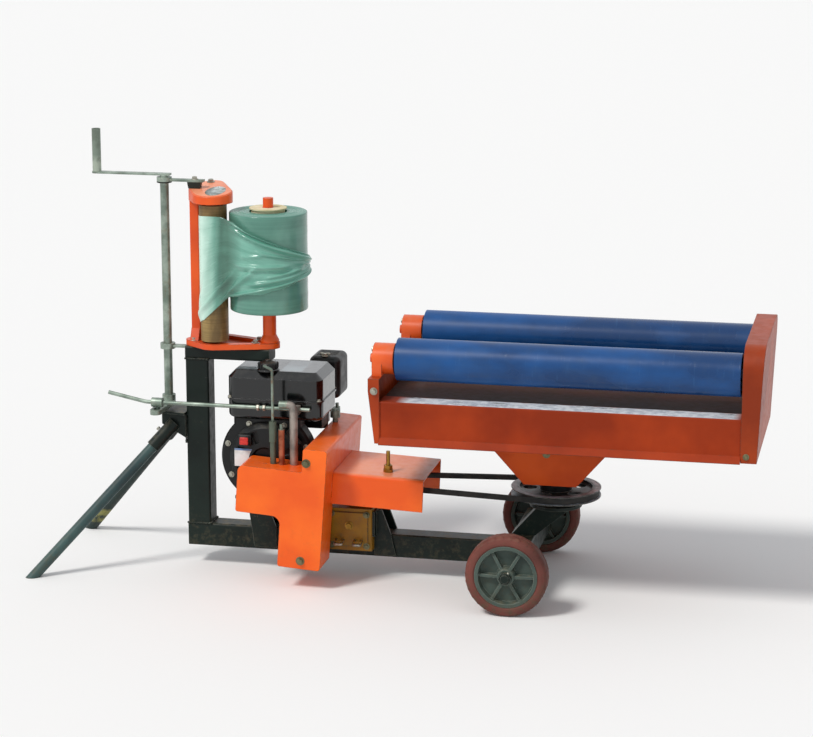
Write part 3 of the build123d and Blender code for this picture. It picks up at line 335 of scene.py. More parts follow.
def hex_head(across, tall, washer=0.0):
    """A bolt head with its chamfered top, and its washer under it, drawn about Z on its seat."""
    part = bmesh.new()
    rise = washer_tall if washer else 0.0
    bmesh.ops.create_cone(part, cap_ends=True, segments=6, radius1=across * corner_reach,
                          radius2=across * corner_reach, depth=tall,
                          matrix=Matrix.Translation((0, 0, rise + tall / 2)))
    rim = [e for e in part.edges if all(v.co.z > rise + tall * 0.9 for v in e.verts)]
    blunt(part, rim, tall * 0.16)
    if washer:
        ring = bmesh.ops.create_cone(part, cap_ends=True, segments=20, radius1=washer / 2, radius2=washer / 2,
                                     depth=rise, matrix=Matrix.Translation((0, 0, rise / 2)))
        around = set(ring["verts"])
        rim = [e for e in part.edges if all(v in around and v.co.z > rise * 0.9 for v in e.verts)]
        blunt(part, rim, 0.0004)
    return part


def bolts(name, spots, along, across, tall, body, finish, washer=None):
    """Bolt heads of one size at several spots, all facing one way."""
    washer = across * washer_ratio if washer is None else washer
    return fitted(name, [(hex_head(across, tall, washer), at, along) for at in spots], body, finish)


def plated(name, dark, main, rust, amount=0.35, metal=0.85, gloss=0.34):
    """Zinc plate on steel, dulled in patches and rusty in its corners."""
    finish, tree, shader = new_finish(name, Metallic=metal)
    colour = two_toned(tree, dark, main, 24.0, 5, 0.4, 0.62)
    rusty = patchy(tree, 46.0, 7, 0.53, 0.66, 0.0, amount, rough=0.7)
    colour = wire(tree, "Mix", rusty, colour, rust, data_type="RGBA")
    give(tree, shader, Base_Color=colour, Roughness=wire(tree, "MapRange", rusty, 0.0, 1.0, gloss, 0.85),
         Normal=raised(tree, mottle(tree, 160.0, 4), 0.15, 0.0006, 0.0012))
    return finish


bolt_zinc = plated("dull_zinc_bolts", "#8d8b80", "#b3b1a4", "#7a5a34")
old_bolt = plated("weathered_bolts", "#5a5a42", "#7b7a5c", "#5b4324", 0.6, 0.6, 0.45)
bed_low, bed_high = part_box("engine_bed")
bolts("engine_bed_bolts", [(bed_low.x + dx, y, bed_high.z) for dx in (0.012, 0.164)
                           for y in (bed_low.y + 0.014, bed_high.y - 0.01)], (0, 0, 1), 0.013, 0.007, "chassis",
      bolt_zinc)


# Wheels.
# Two solid castor wheels: a red-brown rubber tyre, with two grooves round its tread and nicks worn in its
# shoulders, moulded on a ribbed grey hub that turns on the axle stub. A split pin keeps each hub.
def lathed(profile, steps=40):
    """A ring or disc from its profile of (radius, height) points, turned once about Z."""
    part = bmesh.new()
    points = [part.verts.new((r, 0.0, h)) for r, h in profile]
    edges = [part.edges.new(pair) for pair in zip(points, points[1:])]
    bmesh.ops.spin(part, geom=points + edges, cent=(0, 0, 0), axis=(0, 0, 1), angle=math.tau, steps=steps,
                   use_merge=True)
    bmesh.ops.remove_doubles(part, verts=part.verts, dist=1e-6)
    return part


tyre_rubber = enamel("red_brown_rubber", "#54302a", "#74423a", "#463a31", gloss=0.62, dust=0.2, mud=0.7, chipped=0.25,
                     shine=0.2)
hub_plastic = enamel("grey_moulded_hub", "#36423f", "#4c5a53", "#7f857c", gloss=0.5, dust=0.35, mud=0.6, chipped=0.7,
                     shine=0.2)
coat(hub_plastic, "near_wheel_hub", "far_wheel_hub")
tyre_thick, tyre_steps = 0.0228, 120
pin_radius, pin_long, pin_lean, eye = 0.0016, 0.03, (0.5, 0, 0.86), 0.0034
for side in ("near", "far"):
    low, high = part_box(side + "_wheel_tyre")
    centre, radius, half = (low + high) / 2, (high.z - low.z) / 2, (high.y - low.y) / 2
    rim = radius - tyre_thick
    outer = [(rim, -half + 0.004), (rim + 0.003, -half + 0.0012), (rim + 0.008, -half),
             (radius - 0.012, -half + 0.0005), (radius - 0.006, -half + 0.0025), (radius - 0.0022, -half + 0.0065),
             (radius, -half + 0.011)]
    groove = [(radius, -0.0092), (radius - 0.0014, -0.0086), (radius - 0.0014, -0.0072), (radius, -0.0066)]
    half_way = outer + groove + [(radius, 0.0)]
    profile = half_way + [(r, -h) for r, h in reversed(half_way[:-1])] + [half_way[0]]
    part = lathed(profile, tyre_steps)
    nicks = []
    for face in part.faces:
        at = face.calc_center_median()
        on_shoulder = radius - 0.0062 < at.xy.length < radius - 0.0008 and abs(at.z) > half * 0.5
        if on_shoulder and int(math.degrees(math.atan2(at.y, at.x)) / (360 / tyre_steps) + tyre_steps) % 4 == 0:
            nicks.append(face)
    bmesh.ops.inset_individual(part, faces=nicks, thickness=0.0004, depth=-0.0006)
    tyre = fitted(side + "_wheel_rubber", [(part, centre, (0, 1, 0))], side + "_wheel", tyre_rubber, 28)
    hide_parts(side + "_wheel_tyre")
    outward = -1 if side == "near" else 1
    end = centre.y + outward * (half + 0.0075)
    form = bmesh.new()
    bmesh.ops.create_cone(form, cap_ends=True, segments=10, radius1=pin_radius, radius2=pin_radius, depth=pin_long,
                          matrix=laid((centre.x, end, centre.z), pin_lean))
    bmesh.ops.create_uvsphere(form, u_segments=12, v_segments=8, radius=eye,
                              matrix=Matrix.Translation((centre.x + 0.0078, end, centre.z + 0.0134)))
    made_piece(side + "_split_pin", form, "chassis", bolt_zinc, 50)


# Turntable drive: cast pulleys and vee belt.
# Two cast iron pulleys in black paint, the table's one with a painted pale reflection in arcs round its upper rim, and
# a cloth-faced rubber belt between them. The machine's small fittings are set out in millimetres from the table's axis.
turn_x = next(joint["pos_m"][0] for joint in frame["record"]["behaviour"]["joints"] if joint["name"] == "table_spin")


def spot(x, y, z):
    """A point in millimetres from the foot of the turntable's axis."""
    return Vector((turn_x + x / 1000, y / 1000, z / 1000))


def painted_rim_reflection(tree, colour):
    """A painted pale sky reflection in arcs round the pulley's upper rim, on its up-facing edge."""
    centred = wire(tree, "Mapping",
                   {"Vector": wire(tree, "TexCoord", out="Object"), "Location": (-turn_x, 0, 0), "Scale": (1, 1, 0)})
    reach = wire(tree, "VectorMath", centred, operation="LENGTH")
    rim = both(tree, (reach, 0.094, 0.1), (facing(tree, 2), 0.4, 0.8))
    rim = wire(tree, "Math", rim, patchy(tree, 16.0, 5, 0.42, 0.56, 0.3, 0.9), operation="MULTIPLY")
    # Painted reflection: pale blue-grey mixed into the black paint where the upper rim faces up.
    return wire(tree, "Mix", rim, colour, "#b4c0cc", data_type="RGBA")


# The table pulley's paint carries a painted sky reflection round its upper rim.
coat(enamel("black_pulley_paint", "#0c0d0e", "#17191a", "#8d8c86", gloss=0.32, dust=0.15, mud=0.2, chipped=0.8,
            patch=painted_rim_reflection), "turntable_pulley")
coat(enamel("black_iron_paint", "#0c0d0e", "#17191a", "#8d8c86", dust=0.2, chipped=0.8), "drive_pulley")
belt_rubber, tree, shader = new_finish("cloth_faced_rubber", Roughness=0.62, Specular_IOR_Level=0.35)
give(tree, shader, Base_Color=two_toned(tree, "#0d0d0d", "#2a2723", 40.0, 4, 0.4, 0.65),
     Normal=raised(tree, mottle(tree, 300.0, 4), 0.3, 0.0005))
coat(belt_rubber, "drive_belt")


def seat(node, start, way):
    """Where a line from a point first meets a node, and how the node faces there."""
    form = bmesh.new()
    form.from_mesh(frame["nodes"][node].data)
    place, normal = BVHTree.FromBMesh(form).ray_cast(Vector(start), Vector(way))[:2]
    form.free()
    return place, normal


# Gearbox.
# A cast worm gearbox in ochre paint, dirty at its foot, with bolted side covers, a brass level plug, and two bent
# plated hooks for tying back the guard. Its bracket is welded on.
gearbox_paint = enamel("ochre_gearbox_paint", "#80590d", "#b98718", "#4f463a", gloss=0.4, dust=0.3, mud=0.5,
                       chipped=0.9, shine=0.3)
coat(gearbox_paint, "gearbox")
for name, side in (("near", -1), ("far", 1)):
    corners = [spot(x, side * 66, z) for x in (-560, -470) for z in (86, 168)]
    bolts("gearbox_bolts_" + name, corners, (0, side, 0), 0.01, 0.005, "chassis", old_bolt)


def bent_bar(name, points, thick, body, finish):
    """A round bar that runs on smooth bends past a few points."""
    route = bpy.data.curves.new(name, "CURVE")
    route.dimensions = "3D"
    line = route.splines.new("NURBS")
    line.points.add(len(points) - 1)
    for place, point in zip(line.points, points):
        place.co = (*point, 1.0)
    line.order_u = 3
    line.use_endpoint_u = True
    route.resolution_u = 8
    route.bevel_depth = thick / 2
    route.bevel_resolution = 3
    route.use_fill_caps = True
    drawn = bpy.data.objects.new(name + "_route", route)
    bpy.context.collection.objects.link(drawn)
    bpy.context.view_layer.update()
    mesh = bpy.data.meshes.new_from_object(drawn)
    bpy.data.objects.remove(drawn)
    form = bmesh.new()
    form.from_mesh(mesh)
    bpy.data.meshes.remove(mesh)
    bmesh.ops.remove_doubles(form, verts=form.verts, dist=1e-6)
    bmesh.ops.recalc_face_normals(form, faces=form.faces)
    return made_piece(name, form, body, finish, 60)


hook = [(-9, -65), (-9, -80), (-9, -89), (0, -89), (9, -89), (9, -80), (9, -65)]
hook_foot, hook_root, hook_slope = 100, 65, 0.25
for name, x in (("tie_hook_1", -539), ("tie_hook_2", -491)):
    bent_bar(name, [spot(x + dx, y, hook_foot + (y + hook_root) * hook_slope) for dx, y in hook], 0.0068, "chassis",
             bolt_zinc)
dull_brass, tree, shader = new_finish("dull_brass", Metallic=0.9, Roughness=0.38)
give(tree, shader, Base_Color=two_toned(tree, "#8a6a2c", "#b89244", 60.0, 5, 0.4, 0.65))
bolts("oil_level_plug", [spot(-515, -66, 138)], (0, -1, 0), 0.015, 0.006, "chassis", dull_brass, 0.022)
form = bmesh.new()
for y in (-33, 33):
    weld(form, spot(-455.5, y, 112), spot(-430, y, 112), 0.003)
made_piece("bracket_welds", form, "chassis", green_enamel, 60)

# Engine.
# A small air-cooled petrol engine: cast alloy crankcase and fins, a pressed fan cover with its rope starter, stop
# switch and blank plate, a gloss black tank, moulded air cleaner and cap, and a silencer browned by heat.
cast_alloy = enamel("black_cast_alloy", "#0c0d0e", "#191b1c", "#6a6965", gloss=0.5, dust=0.2, chipped=0.5, shine=0.25)
coat(cast_alloy, "engine_block")
cover_black = enamel("black_cover_paint", "#070808", "#0d0f10", "#3f3e3c", gloss=0.34, dust=0.15, chipped=0.35,
                     shine=0.3)
coat(cover_black, "fan_cowl", "recoil_starter")


def painted_panel_reflections(tree, colour):
    """A painted pale sky reflection on the two polished panels on the tank's top, one each side of the cap."""
    off = wire(tree, "Math", spot_of(tree, 0), middle("fuel_cap").x, operation="SUBTRACT")
    off = wire(tree, "Math", off, operation="ABSOLUTE")
    beside = within(tree, off, (0.03, 0.033), (0.088, 0.084))
    deep = wire(tree, "Math", spot_of(tree, 1), operation="ABSOLUTE")
    across = both(tree, (deep, 0.06, 0.057), (facing(tree, 2), 0.85, 0.97))
    panels = wire(tree, "Math", beside, across, operation="MULTIPLY")
    panels = wire(tree, "Math", panels, patchy(tree, 12.0, 3, 0.4, 0.62, 0.55, 0.85), operation="MULTIPLY")
    # Painted reflection: pale blue-grey mixed into the black paint on the two top panels.
    return wire(tree, "Mix", panels, colour, "#74848b", data_type="RGBA")


# The tank's paint carries a painted sky reflection on its top panels.
tank_gloss = enamel("gloss_black_tank_paint", "#060708", "#0b0d0f", "#33322f", gloss=0.12, dust=0.03, chipped=0.2,
                    shine=0.35, varnish=0.5, patch=painted_panel_reflections)
coat(tank_gloss, "fuel_tank")
moulded, tree, shader = new_finish("black_moulded_plastic", Specular_IOR_Level=0.35)
haze = patchy(tree, 30.0, 5, 0.42, 0.7)
lying = wire(tree, "Math", wire(tree, "MapRange", facing(tree, 2), 0.4, 1.0, 0.0, 0.3), haze, operation="MULTIPLY")
give(tree, shader, Base_Color=wire(tree, "Mix", lying, "#111213", "#7d776a", data_type="RGBA"),
     Roughness=wire(tree, "MapRange", haze, 0.0, 1.0, 0.36, 0.55),
     Normal=raised(tree, mottle(tree, 700.0, 2), 0.25, 0.0004, 0.002))
coat(moulded, "air_cleaner", "fuel_cap")
browned = plated("heat_browned_steel", "#4c3a2c", "#8d8072", "#5a3620", 0.7, 0.8, 0.4)
coat(browned, "muffler")
cover_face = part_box("fan_cowl")[0].y
shaft = middle("recoil_starter")
wide, tall = 0.108, 0.096
bolts("fan_cover_screws", [Vector((shaft.x + wide * math.cos(a), cover_face, shaft.z + tall * math.sin(a)))
                           for a in map(math.radians, (-30, 20, 65, 115, 160, 210))], (0, -1, 0), 0.009, 0.004,
      "chassis", bolt_zinc)


def rounded_block(size, edge, corners=3):
    """A block about its middle with its edges rounded."""
    part = bmesh.new()
    bmesh.ops.create_cube(part, size=1.0, matrix=Matrix.Diagonal((*size, 1.0)))
    blunt(part, part.edges[:], edge, corners)
    return part


switch_back = seat("recoil_starter", spot(-776, -300, 352), (0, 1, 0))[0]
fitted("switch_housing", [(rounded_block((0.034, 0.02, 0.03), 0.003), switch_back + Vector((0, -0.004, 0))),
                          (rounded_block((0.026, 0.006, 0.024), 0.0018), switch_back + Vector((0, -0.0155, 0)))],
       "chassis", moulded)
switch_red, tree, shader = new_finish("red_moulded_rocker", Roughness=0.32)
give(tree, shader, Base_Color=two_toned(tree, "#b01a14", "#e03426", 120.0, 3, 0.4, 0.7))
rocker = rounded_block((0.022, 0.008, 0.019), 0.0022)
fitted("stop_switch", [(rocker, switch_back + Vector((0, -0.019, 0)), (0, 0.16, 1))], "chassis", switch_red)
plate_white, tree, shader = new_finish("blank_enamelled_plate", Roughness=0.35)
stain = patchy(tree, 45.0, 6, 0.48, 0.72, 0.0, 0.4)
band = wire(tree, "MapRange", spot_of(tree, 2), 0.3225, 0.3235)
tone = wire(tree, "Mix", band, "#e2e4e4", "#5d7fae", data_type="RGBA")
give(tree, shader, Base_Color=wire(tree, "Mix", stain, tone, "#8d877a", data_type="RGBA"))
plate_back = seat("recoil_starter", spot(-783, -300, 305), (0, 1, 0))[0]
fitted("blank_cover_plate", [(rounded_block((0.046, 0.0014, 0.046), 0.0006, 2), plate_back + Vector((0, -0.0005, 0)))],
       "chassis", plate_white)

# Tank and breather fittings.
# A crimped filler ring, grips round the moulded cap, a bolt at each corner of the tank, ribs and a wing nut on
# the air cleaner, louvres on the silencer's shield, and the wound governor spring.
cap_low, cap_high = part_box("fuel_cap")
cap = middle("fuel_cap")
ring = [(0.0245, 0.0), (0.0285, 0.0), (0.0285, 0.003), (0.0265, 0.005), (0.0245, 0.005), (0.0245, 0.0)]
fitted("filler_ring", [(lathed(ring, 40), (cap.x, cap.y, cap_low.z))], "chassis", tank_gloss)
form = bmesh.new()
grips = 18
reach = (cap_high.x - cap_low.x) / 2 + 0.0006
for k in range(grips):
    turn = math.tau * k / grips
    add_to(form, rounded_block((0.0034, 0.0034, 0.013), 0.001, 1),
           (cap.x + reach * math.cos(turn), cap.y + reach * math.sin(turn), cap.z + 0.001))
add_to(form, lathed([(0.0, 0.003), (0.008, 0.0026), (0.0095, 0.0), (0.0, 0.0)], 32), (cap.x, cap.y, cap_high.z))
made_piece("fuel_cap_grips", form, "chassis", moulded)
bolts("tank_bolts", [spot(x, y, 458) for x in (-816, -588) for y in (-77, 77)], (0, 0, 1), 0.008, 0.004, "chassis",
      bolt_zinc)
fitted("air_cleaner_ribs", [(rounded_block((0.052, 0.004, 0.003), 0.0012, 2), spot(-619, 132 + k * 12, 529.4))
                            for k in range(5)], "chassis", moulded)
wings = [(rounded_block((0.011, 0.002, 0.008), 0.0009, 2), spot(x, 118, 535)) for x in (-627, -611)]
fitted("cover_wing_nut", [(hex_head(0.01, 0.006, 0.018), spot(-619, 118, 529.6)), *wings], "chassis", bolt_zinc)
fitted("silencer_louvres", [(rounded_block((0.006, 0.003, 0.05), 0.0013, 2), spot(-796 + k * 13, 182, 420))
                            for k in range(7)], "chassis", browned)


def coiled_spring(name, start, end, radius, thick, turns, body, finish):
    """A wire spring, wound between two points."""
    wind = bmesh.new()
    bmesh.ops.create_circle(wind, cap_ends=True, segments=7, radius=thick / 2,
                            matrix=Matrix.Translation((radius, 0, 0)) @ Matrix.Rotation(math.pi / 2, 4, "X"))
    length = (Vector(end) - Vector(start)).length
    steps = turns * 14
    swept = bmesh.ops.spin(wind, geom=wind.edges[:] + wind.verts[:], cent=(0, 0, 0), axis=(0, 0, 1),
                           angle=math.tau * turns, steps=steps, dvec=(0, 0, length / steps), use_merge=False)
    last = {v for v in swept["geom_last"] if isinstance(v, bmesh.types.BMVert)}
    bmesh.ops.contextual_create(wind, geom=[e for e in wind.edges if all(v in last for v in e.verts)])
    return fitted(name, [(wind, start, Vector(end) - Vector(start))], body, finish, 80)


coiled_spring("governor_spring", spot(-640, 52, 398), spot(-596, 88, 402), 0.0045, 0.0016, 14, "chassis", bolt_zinc)

# Drive guard and belt guard.
# Folded sheet steel in bright orange enamel, hung on stays with two bolts. Its folds are bare in spots, and the
# belt guard's top is painted paler where it faces up, a painted highlight, and has a brass stop pin through it.
def painted_top_highlight(tree, colour):
    """A painted highlight: paint that faces up is made paler in cloudy patches."""
    up = wire(tree, "MapRange", facing(tree, 2), 0.6, 0.97)
    top_glare = wire(tree, "Math", up, patchy(tree, 7.0, 4, 0.3, 0.6, 0.3, 0.75), operation="MULTIPLY")
    # Painted highlight: a pale orange mixed in where the surface faces up.
    return wire(tree, "Mix", top_glare, colour, "#ffb088", data_type="RGBA")


guard_orange = enamel("bright_orange_enamel", "#ee5a0e", "#fb6d16", "#7a4a30", gloss=0.3, dust=0.14, mud=0.1,
                      chipped=0.5, streaks=0.1, shine=0.35)
coat(guard_orange, "drive_guard", "guard_stays")
# The belt guard's paint carries a painted highlight on its up-facing top.
coat(enamel("faded_orange_enamel", "#ee5a0e", "#fb6d16", "#7a4a30", gloss=0.3, dust=0.05, mud=0.1, chipped=0.5,
            streaks=0.1, shine=0.35, patch=painted_top_highlight), "belt_guard")
lean = math.radians(4)
guard_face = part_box("drive_guard")[0].y * 1000


def on_guard(across, up):
    """A point on the guard's front plate, in millimetres from its middle along the plate's own leaning sides."""
    return spot(-600 + across * math.cos(lean) + up * math.sin(lean), guard_face,
                200 - across * math.sin(lean) + up * math.cos(lean))


bolts("guard_bolts", [on_guard(-2, 128), on_guard(-2, -124)], (0, -1, 0), 0.013, 0.007, "chassis", old_bolt)
coat(dull_brass, "stop_pin")

# Stand.
# Two splayed legs of thick tube, in sockets welded to a folded bracket on the mast, with a set screw through each
# socket. The near leg is painted green-grey. The far one is darker, with a worn olive ring above its foot.
leg_paint = enamel("grey_green_leg_paint", "#263a3c", "#3d5755", "#7d8078", gloss=0.42, dust=0.2, mud=0.5, chipped=0.9,
                   streaks=0.4, shine=0.3)
coat(leg_paint, "stand_leg_near")


def olive_foot(tree, colour):
    """A worn olive ring above the far leg's foot."""
    ring = within(tree, spot_of(tree, 2), (0.022, 0.026), (0.07, 0.062))
    ring = wire(tree, "Math", ring, patchy(tree, 60.0, 4, 0.3, 0.5), operation="MULTIPLY")
    return wire(tree, "Mix", ring, colour, "#7c7a44", data_type="RGBA")


coat(enamel("dark_leg_paint", "#14211f", "#233431", "#7d8078", gloss=0.42, dust=0.15, mud=0.4, chipped=0.9, streaks=0.3,
            shine=0.25, patch=olive_foot), "stand_leg_far")
bracket_low, bracket_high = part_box("stand_bracket")
form = bmesh.new()
seam_x = bracket_high.x - 0.001
for y in (bracket_low.y * 0.36, bracket_high.y * 0.36):
    weld(form, (seam_x, y, bracket_low.z + 0.02), (seam_x, y, bracket_high.z - 0.01))
made_piece("bracket_seams", form, "chassis", green_enamel, 60)
form = bmesh.new()
for name, side in (("stand_leg_near", -1), ("stand_leg_far", 1)):
    low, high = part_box(name)
    foot = Vector((low.x, low.y if side < 0 else high.y, low.z))
    head = Vector((high.x, high.y if side < 0 else low.y, high.z))
    way = (head - foot).normalized()
    across = way.cross(Vector((0, 1, 0))).normalized()
    if across.z < 0:
        across = -across
    add_to(form, hex_head(0.009, 0.006, 0.0), head - way * 0.05 + across * 0.019, across)
made_piece("leg_set_screws", form, "chassis", bolt_zinc)

# Clutch controls.
# Bare plated steel, dull and rusty in places: guide tubes with a rusty sleeve, a push rod with its nuts, a tension
# lever, and the crank that works them, held to the mast by two straps. The upper one has a dark stool under it.
zinc_tones = ("#6f7d72", "#9ba89c", "#6f5a3c", 0.4, 0.55, 0.42)
coat(plated("dull_zinc_plate", *zinc_tones), "crank_shaft", "tension_lever", "clutch_rod")
strap_zinc = plated("strap_zinc_plate", *zinc_tones)


def opened(finish):
    """A finish's nodes, its shader and the colour that it has so far."""
    shader = finish.node_tree.nodes["Principled BSDF"]
    return finish.node_tree, shader, shader.inputs["Base Color"].links[0].from_socket


tree, shader, plain = opened(strap_zinc)
up = spot_of(tree, 2)
stool = within(tree, up, (0.9878, 0.9872), (0.95, 0.955))
give(tree, shader, Base_Color=wire(tree, "Mix", stool, plain, "#23251f", data_type="RGBA"))
coat(strap_zinc, "crank_straps")
tube_zinc = plated("aged_zinc_tube", "#5f6c62", "#8c998c", "#8a5a34", 0.55, 0.5, 0.45)
tree, shader, plain = opened(tube_zinc)
across, up = spot_of(tree, 0), spot_of(tree, 2)
sleeve_x, guide_x, blur = turn_x - 0.68, turn_x - 0.655, 0.0005
rust = two_toned(tree, "#7c3d22", "#b0684a", 40.0, 5, 0.4, 0.6)
sleeve = both(tree, (across, sleeve_x - blur, sleeve_x + blur), (up, 0.3985, 0.3965))
guide = two_toned(tree, "#75706a", "#a1988f", 30.0, 5, 0.4, 0.6)
below = wire(tree, "Mix", wire(tree, "MapRange", up, 0.43, 0.42), plain, "#4c5546", data_type="RGBA")
on_tube = wire(tree, "MapRange", across, sleeve_x + blur, sleeve_x - blur, 0.0, 0.8)
on_guide = wire(tree, "MapRange", across, guide_x - blur, guide_x + blur)
tone = wire(tree, "Mix", on_tube, plain, below, data_type="RGBA")
tone = wire(tree, "Mix", sleeve, tone, rust, data_type="RGBA")
give(tree, shader, Base_Color=wire(tree, "Mix", on_guide, tone, guide, data_type="RGBA"))
coat(tube_zinc, "control_tubes")
grip_zinc, tree, shader = new_finish("worn_grip_zinc", Metallic=0.4, Roughness=0.45)
worn_band = wire(tree, "MapRange", spot_of(tree, 2), 1.05, 1.03)
grime = patchy(tree, 40.0, 5, 0.45, 0.6, 0.0, 0.6)
tone = wire(tree, "Mix", worn_band, "#7a877b", "#a3ae9f", data_type="RGBA")
give(tree, shader, Base_Color=wire(tree, "Mix", grime, tone, "#5d665b", data_type="RGBA"),
     Normal=raised(tree, mottle(tree, 160.0, 4), 0.2, 0.0006, 0.0012))
coat(grip_zinc, "crank_grip")
bolts("rod_nuts", [spot(-742, -97, 440), spot(-726, -97, 440)], (1, 0, 0), 0.014, 0.007, "clutch_link", bolt_zinc, 0.0)
strap_top = seat("crank_straps", spot(-922, 0, 1080), (0, 0, -1))[0]
bolts("strap_bolt", [strap_top], (0, 0, 1), 0.011, 0.006, "chassis", bolt_zinc)

# Film dispenser.
# A folded orange frame bolted on the mast's arm, the reel's spindle, a pressed cap over the gears with a blank
# plate riveted on, two tan rubber rollers that stretch the film, and the reel's card core.
dispenser_orange = enamel("red_orange_enamel", "#d2460c", "#ee5c18", "#6d4636", gloss=0.34, dust=0.15, chipped=0.5,
                          streaks=0.15, shine=0.35)
coat(dispenser_orange, "dispenser_frame", "roll_spindle")
# The gear cap's paint carries a painted highlight on its up-facing top.
coat(enamel("faded_cap_enamel", "#d2460c", "#f05e1a", "#6d4636", gloss=0.34, dust=0.1, streaks=0.15, shine=0.35,
            patch=painted_top_highlight), "gear_cap")
gear_low, gear_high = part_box("gear_cap")
cap_slope, cap_tall = math.radians(7), 0.04


def on_cap(x, y, lift=0.0):
    """A point on the gear cap's sloping top, in millimetres."""
    top = gear_low.z + cap_tall - (gear_high.y - y / 1000) * math.tan(cap_slope)
    return Vector((spot(x, 0, 0).x, y / 1000, top + lift))


upright = Vector((0, -math.sin(cap_slope), math.cos(cap_slope)))
bolts("dispenser_foot_bolts", [spot(x, y, 587) for x in (-925, -765) for y in (-20, 20)], (0, 0, 1), 0.012, 0.006,
      "chassis", bolt_zinc)
bolts("gear_cap_bolts", [on_cap(-897, 58)], upright, 0.012, 0.006, "chassis", bolt_zinc)
plate_silver = plated("brushed_blank_plate", "#6a7672", "#c8d0cc", "#2f3a35", 0.7, 0.8, 0.3)
plate_x, plate_y, rivet_off = -862, -22, 34
part = lathed([(0.0, 0.001), (0.0185, 0.001), (0.0195, 0.0004), (0.0195, 0.0), (0.0, 0.0)], 40)
part.transform(Matrix.Diagonal((1.25, 2.1, 1, 1)))
rivet = [(0.0, 0.0022), (0.0014, 0.0018), (0.002, 0.001), (0.002, 0.0), (0.0, 0.0)]
rivets = [(lathed(rivet, 12), on_cap(plate_x, plate_y + off, 0.0008), upright) for off in (-rivet_off, rivet_off)]
fitted("blank_cap_plate", [(part, on_cap(plate_x, plate_y), upright), *rivets], "chassis", plate_silver)
tan_rubber, tree, shader = new_finish("tan_roller_rubber", Specular_IOR_Level=0.35)
wear = patchy(tree, 30.0, 6, 0.4, 0.65, stretch=(1, 1, 0.3))
rings = patchy(tree, 60.0, 2, 0.45, 0.6, 0.0, 0.4, stretch=(0.05, 0.05, 3.0))
tone = wire(tree, "Mix", wear, "#715a34", "#9c8250", data_type="RGBA")
give(tree, shader, Base_Color=wire(tree, "Mix", rings, tone, "#5a482c", data_type="RGBA"),
     Roughness=wire(tree, "MapRange", wear, 0.0, 1.0, 0.38, 0.6),
     Normal=raised(tree, mottle(tree, 120.0, 4), 0.15, 0.0006, 0.0015))
coat(tan_rubber, "stretch_roller_front", "stretch_roller_rear")
card, tree, shader = new_finish("wound_card", Roughness=0.8, Specular_IOR_Level=0.2)
plies = patchy(tree, 90.0, 3, 0.4, 0.6, stretch=(0.3, 0.3, 4.0))
give(tree, shader, Base_Color=wire(tree, "Mix", plies, "#cfc49a", "#eae2c2", data_type="RGBA"),
     Normal=raised(tree, mottle(tree, 260.0, 4), 0.2, 0.0005, 0.001))
coat(card, "film_core")

# Film roll.
# Stretch film wound on the card core: glossy pale green, its side in faint bands, and its ends a little uneven
# where the turns have wandered, with the edge of each turn showing as a ring.
roll_low, roll_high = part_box("film_roll")
roll = (roll_low + roll_high) / 2
roll_radius = (roll_high.x - roll_low.x) / 2
core_radius = (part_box("film_core")[1].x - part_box("film_core")[0].x) / 2
half_tall = (roll_high.z - roll_low.z) / 2
winding = random.Random(11)
end_rings, wall_bands = 30, 24
end_line = []
for k in range(end_rings + 1):
    radius = core_radius + 0.0006 + (roll_radius - 0.0016 - core_radius) * k / end_rings
    end_line.append((radius, half_tall - 0.0004 - 0.0016 * winding.random() - (0.0014 if k == end_rings else 0.0)))
wall = [(roll_radius - 0.0004, half_tall - 0.0042)]
wall += [(roll_radius - 0.0006 * winding.random(), half_tall * (1 - 2 * k / wall_bands)) for k in range(1, wall_bands)]
wall += [(roll_radius - 0.0004, -half_tall + 0.0042)]
profile = end_line + wall + [(r, -h) for r, h in reversed(end_line)] + [end_line[0]]
film_wound, tree, shader = new_finish("wound_green_film", Coat_Weight=0.25, Coat_Roughness=0.12,
                                      Specular_IOR_Level=0.45)
turns = patchy(tree, 26.0, 4, 0.38, 0.64, stretch=(0.1, 0.1, 5.0))
side_tone = wire(tree, "Mix", turns, "#4f8273", "#5a8f7e", data_type="RGBA")
haze = patchy(tree, 8.0, 3, 0.4, 0.65, 0.0, 0.45)
side_tone = wire(tree, "Mix", haze, side_tone, "#7db19f", data_type="RGBA")
centred = wire(tree, "Mapping", {"Vector": wire(tree, "TexCoord", out="Object"), "Location": (-roll.x, -roll.y, 0)})
rings = wire(tree, "TexWave", {"Vector": centred, "Scale": 75.0, "Distortion": 1.2, "Detail": 2.0,
                               "Detail Scale": 2.0}, out="Fac", wave_type="RINGS", rings_direction="Z")
end_tone = wire(tree, "Mix", wire(tree, "MapRange", rings, 0.3, 0.8), "#4f8373", "#6fa393", data_type="RGBA")
on_end = wire(tree, "MapRange", wire(tree, "Math", facing(tree, 2), operation="ABSOLUTE"), 0.6, 0.85)
give(tree, shader, Base_Color=wire(tree, "Mix", on_end, side_tone, end_tone, data_type="RGBA"),
     Roughness=wire(tree, "MapRange", on_end, 0.0, 1.0, 0.24, 0.5), Normal=raised(tree, turns, 0.12, 0.0006))
wound = fitted("wound_film", [(lathed(profile, 96), roll)], "film_reel", film_wound, 50)
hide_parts("film_roll")

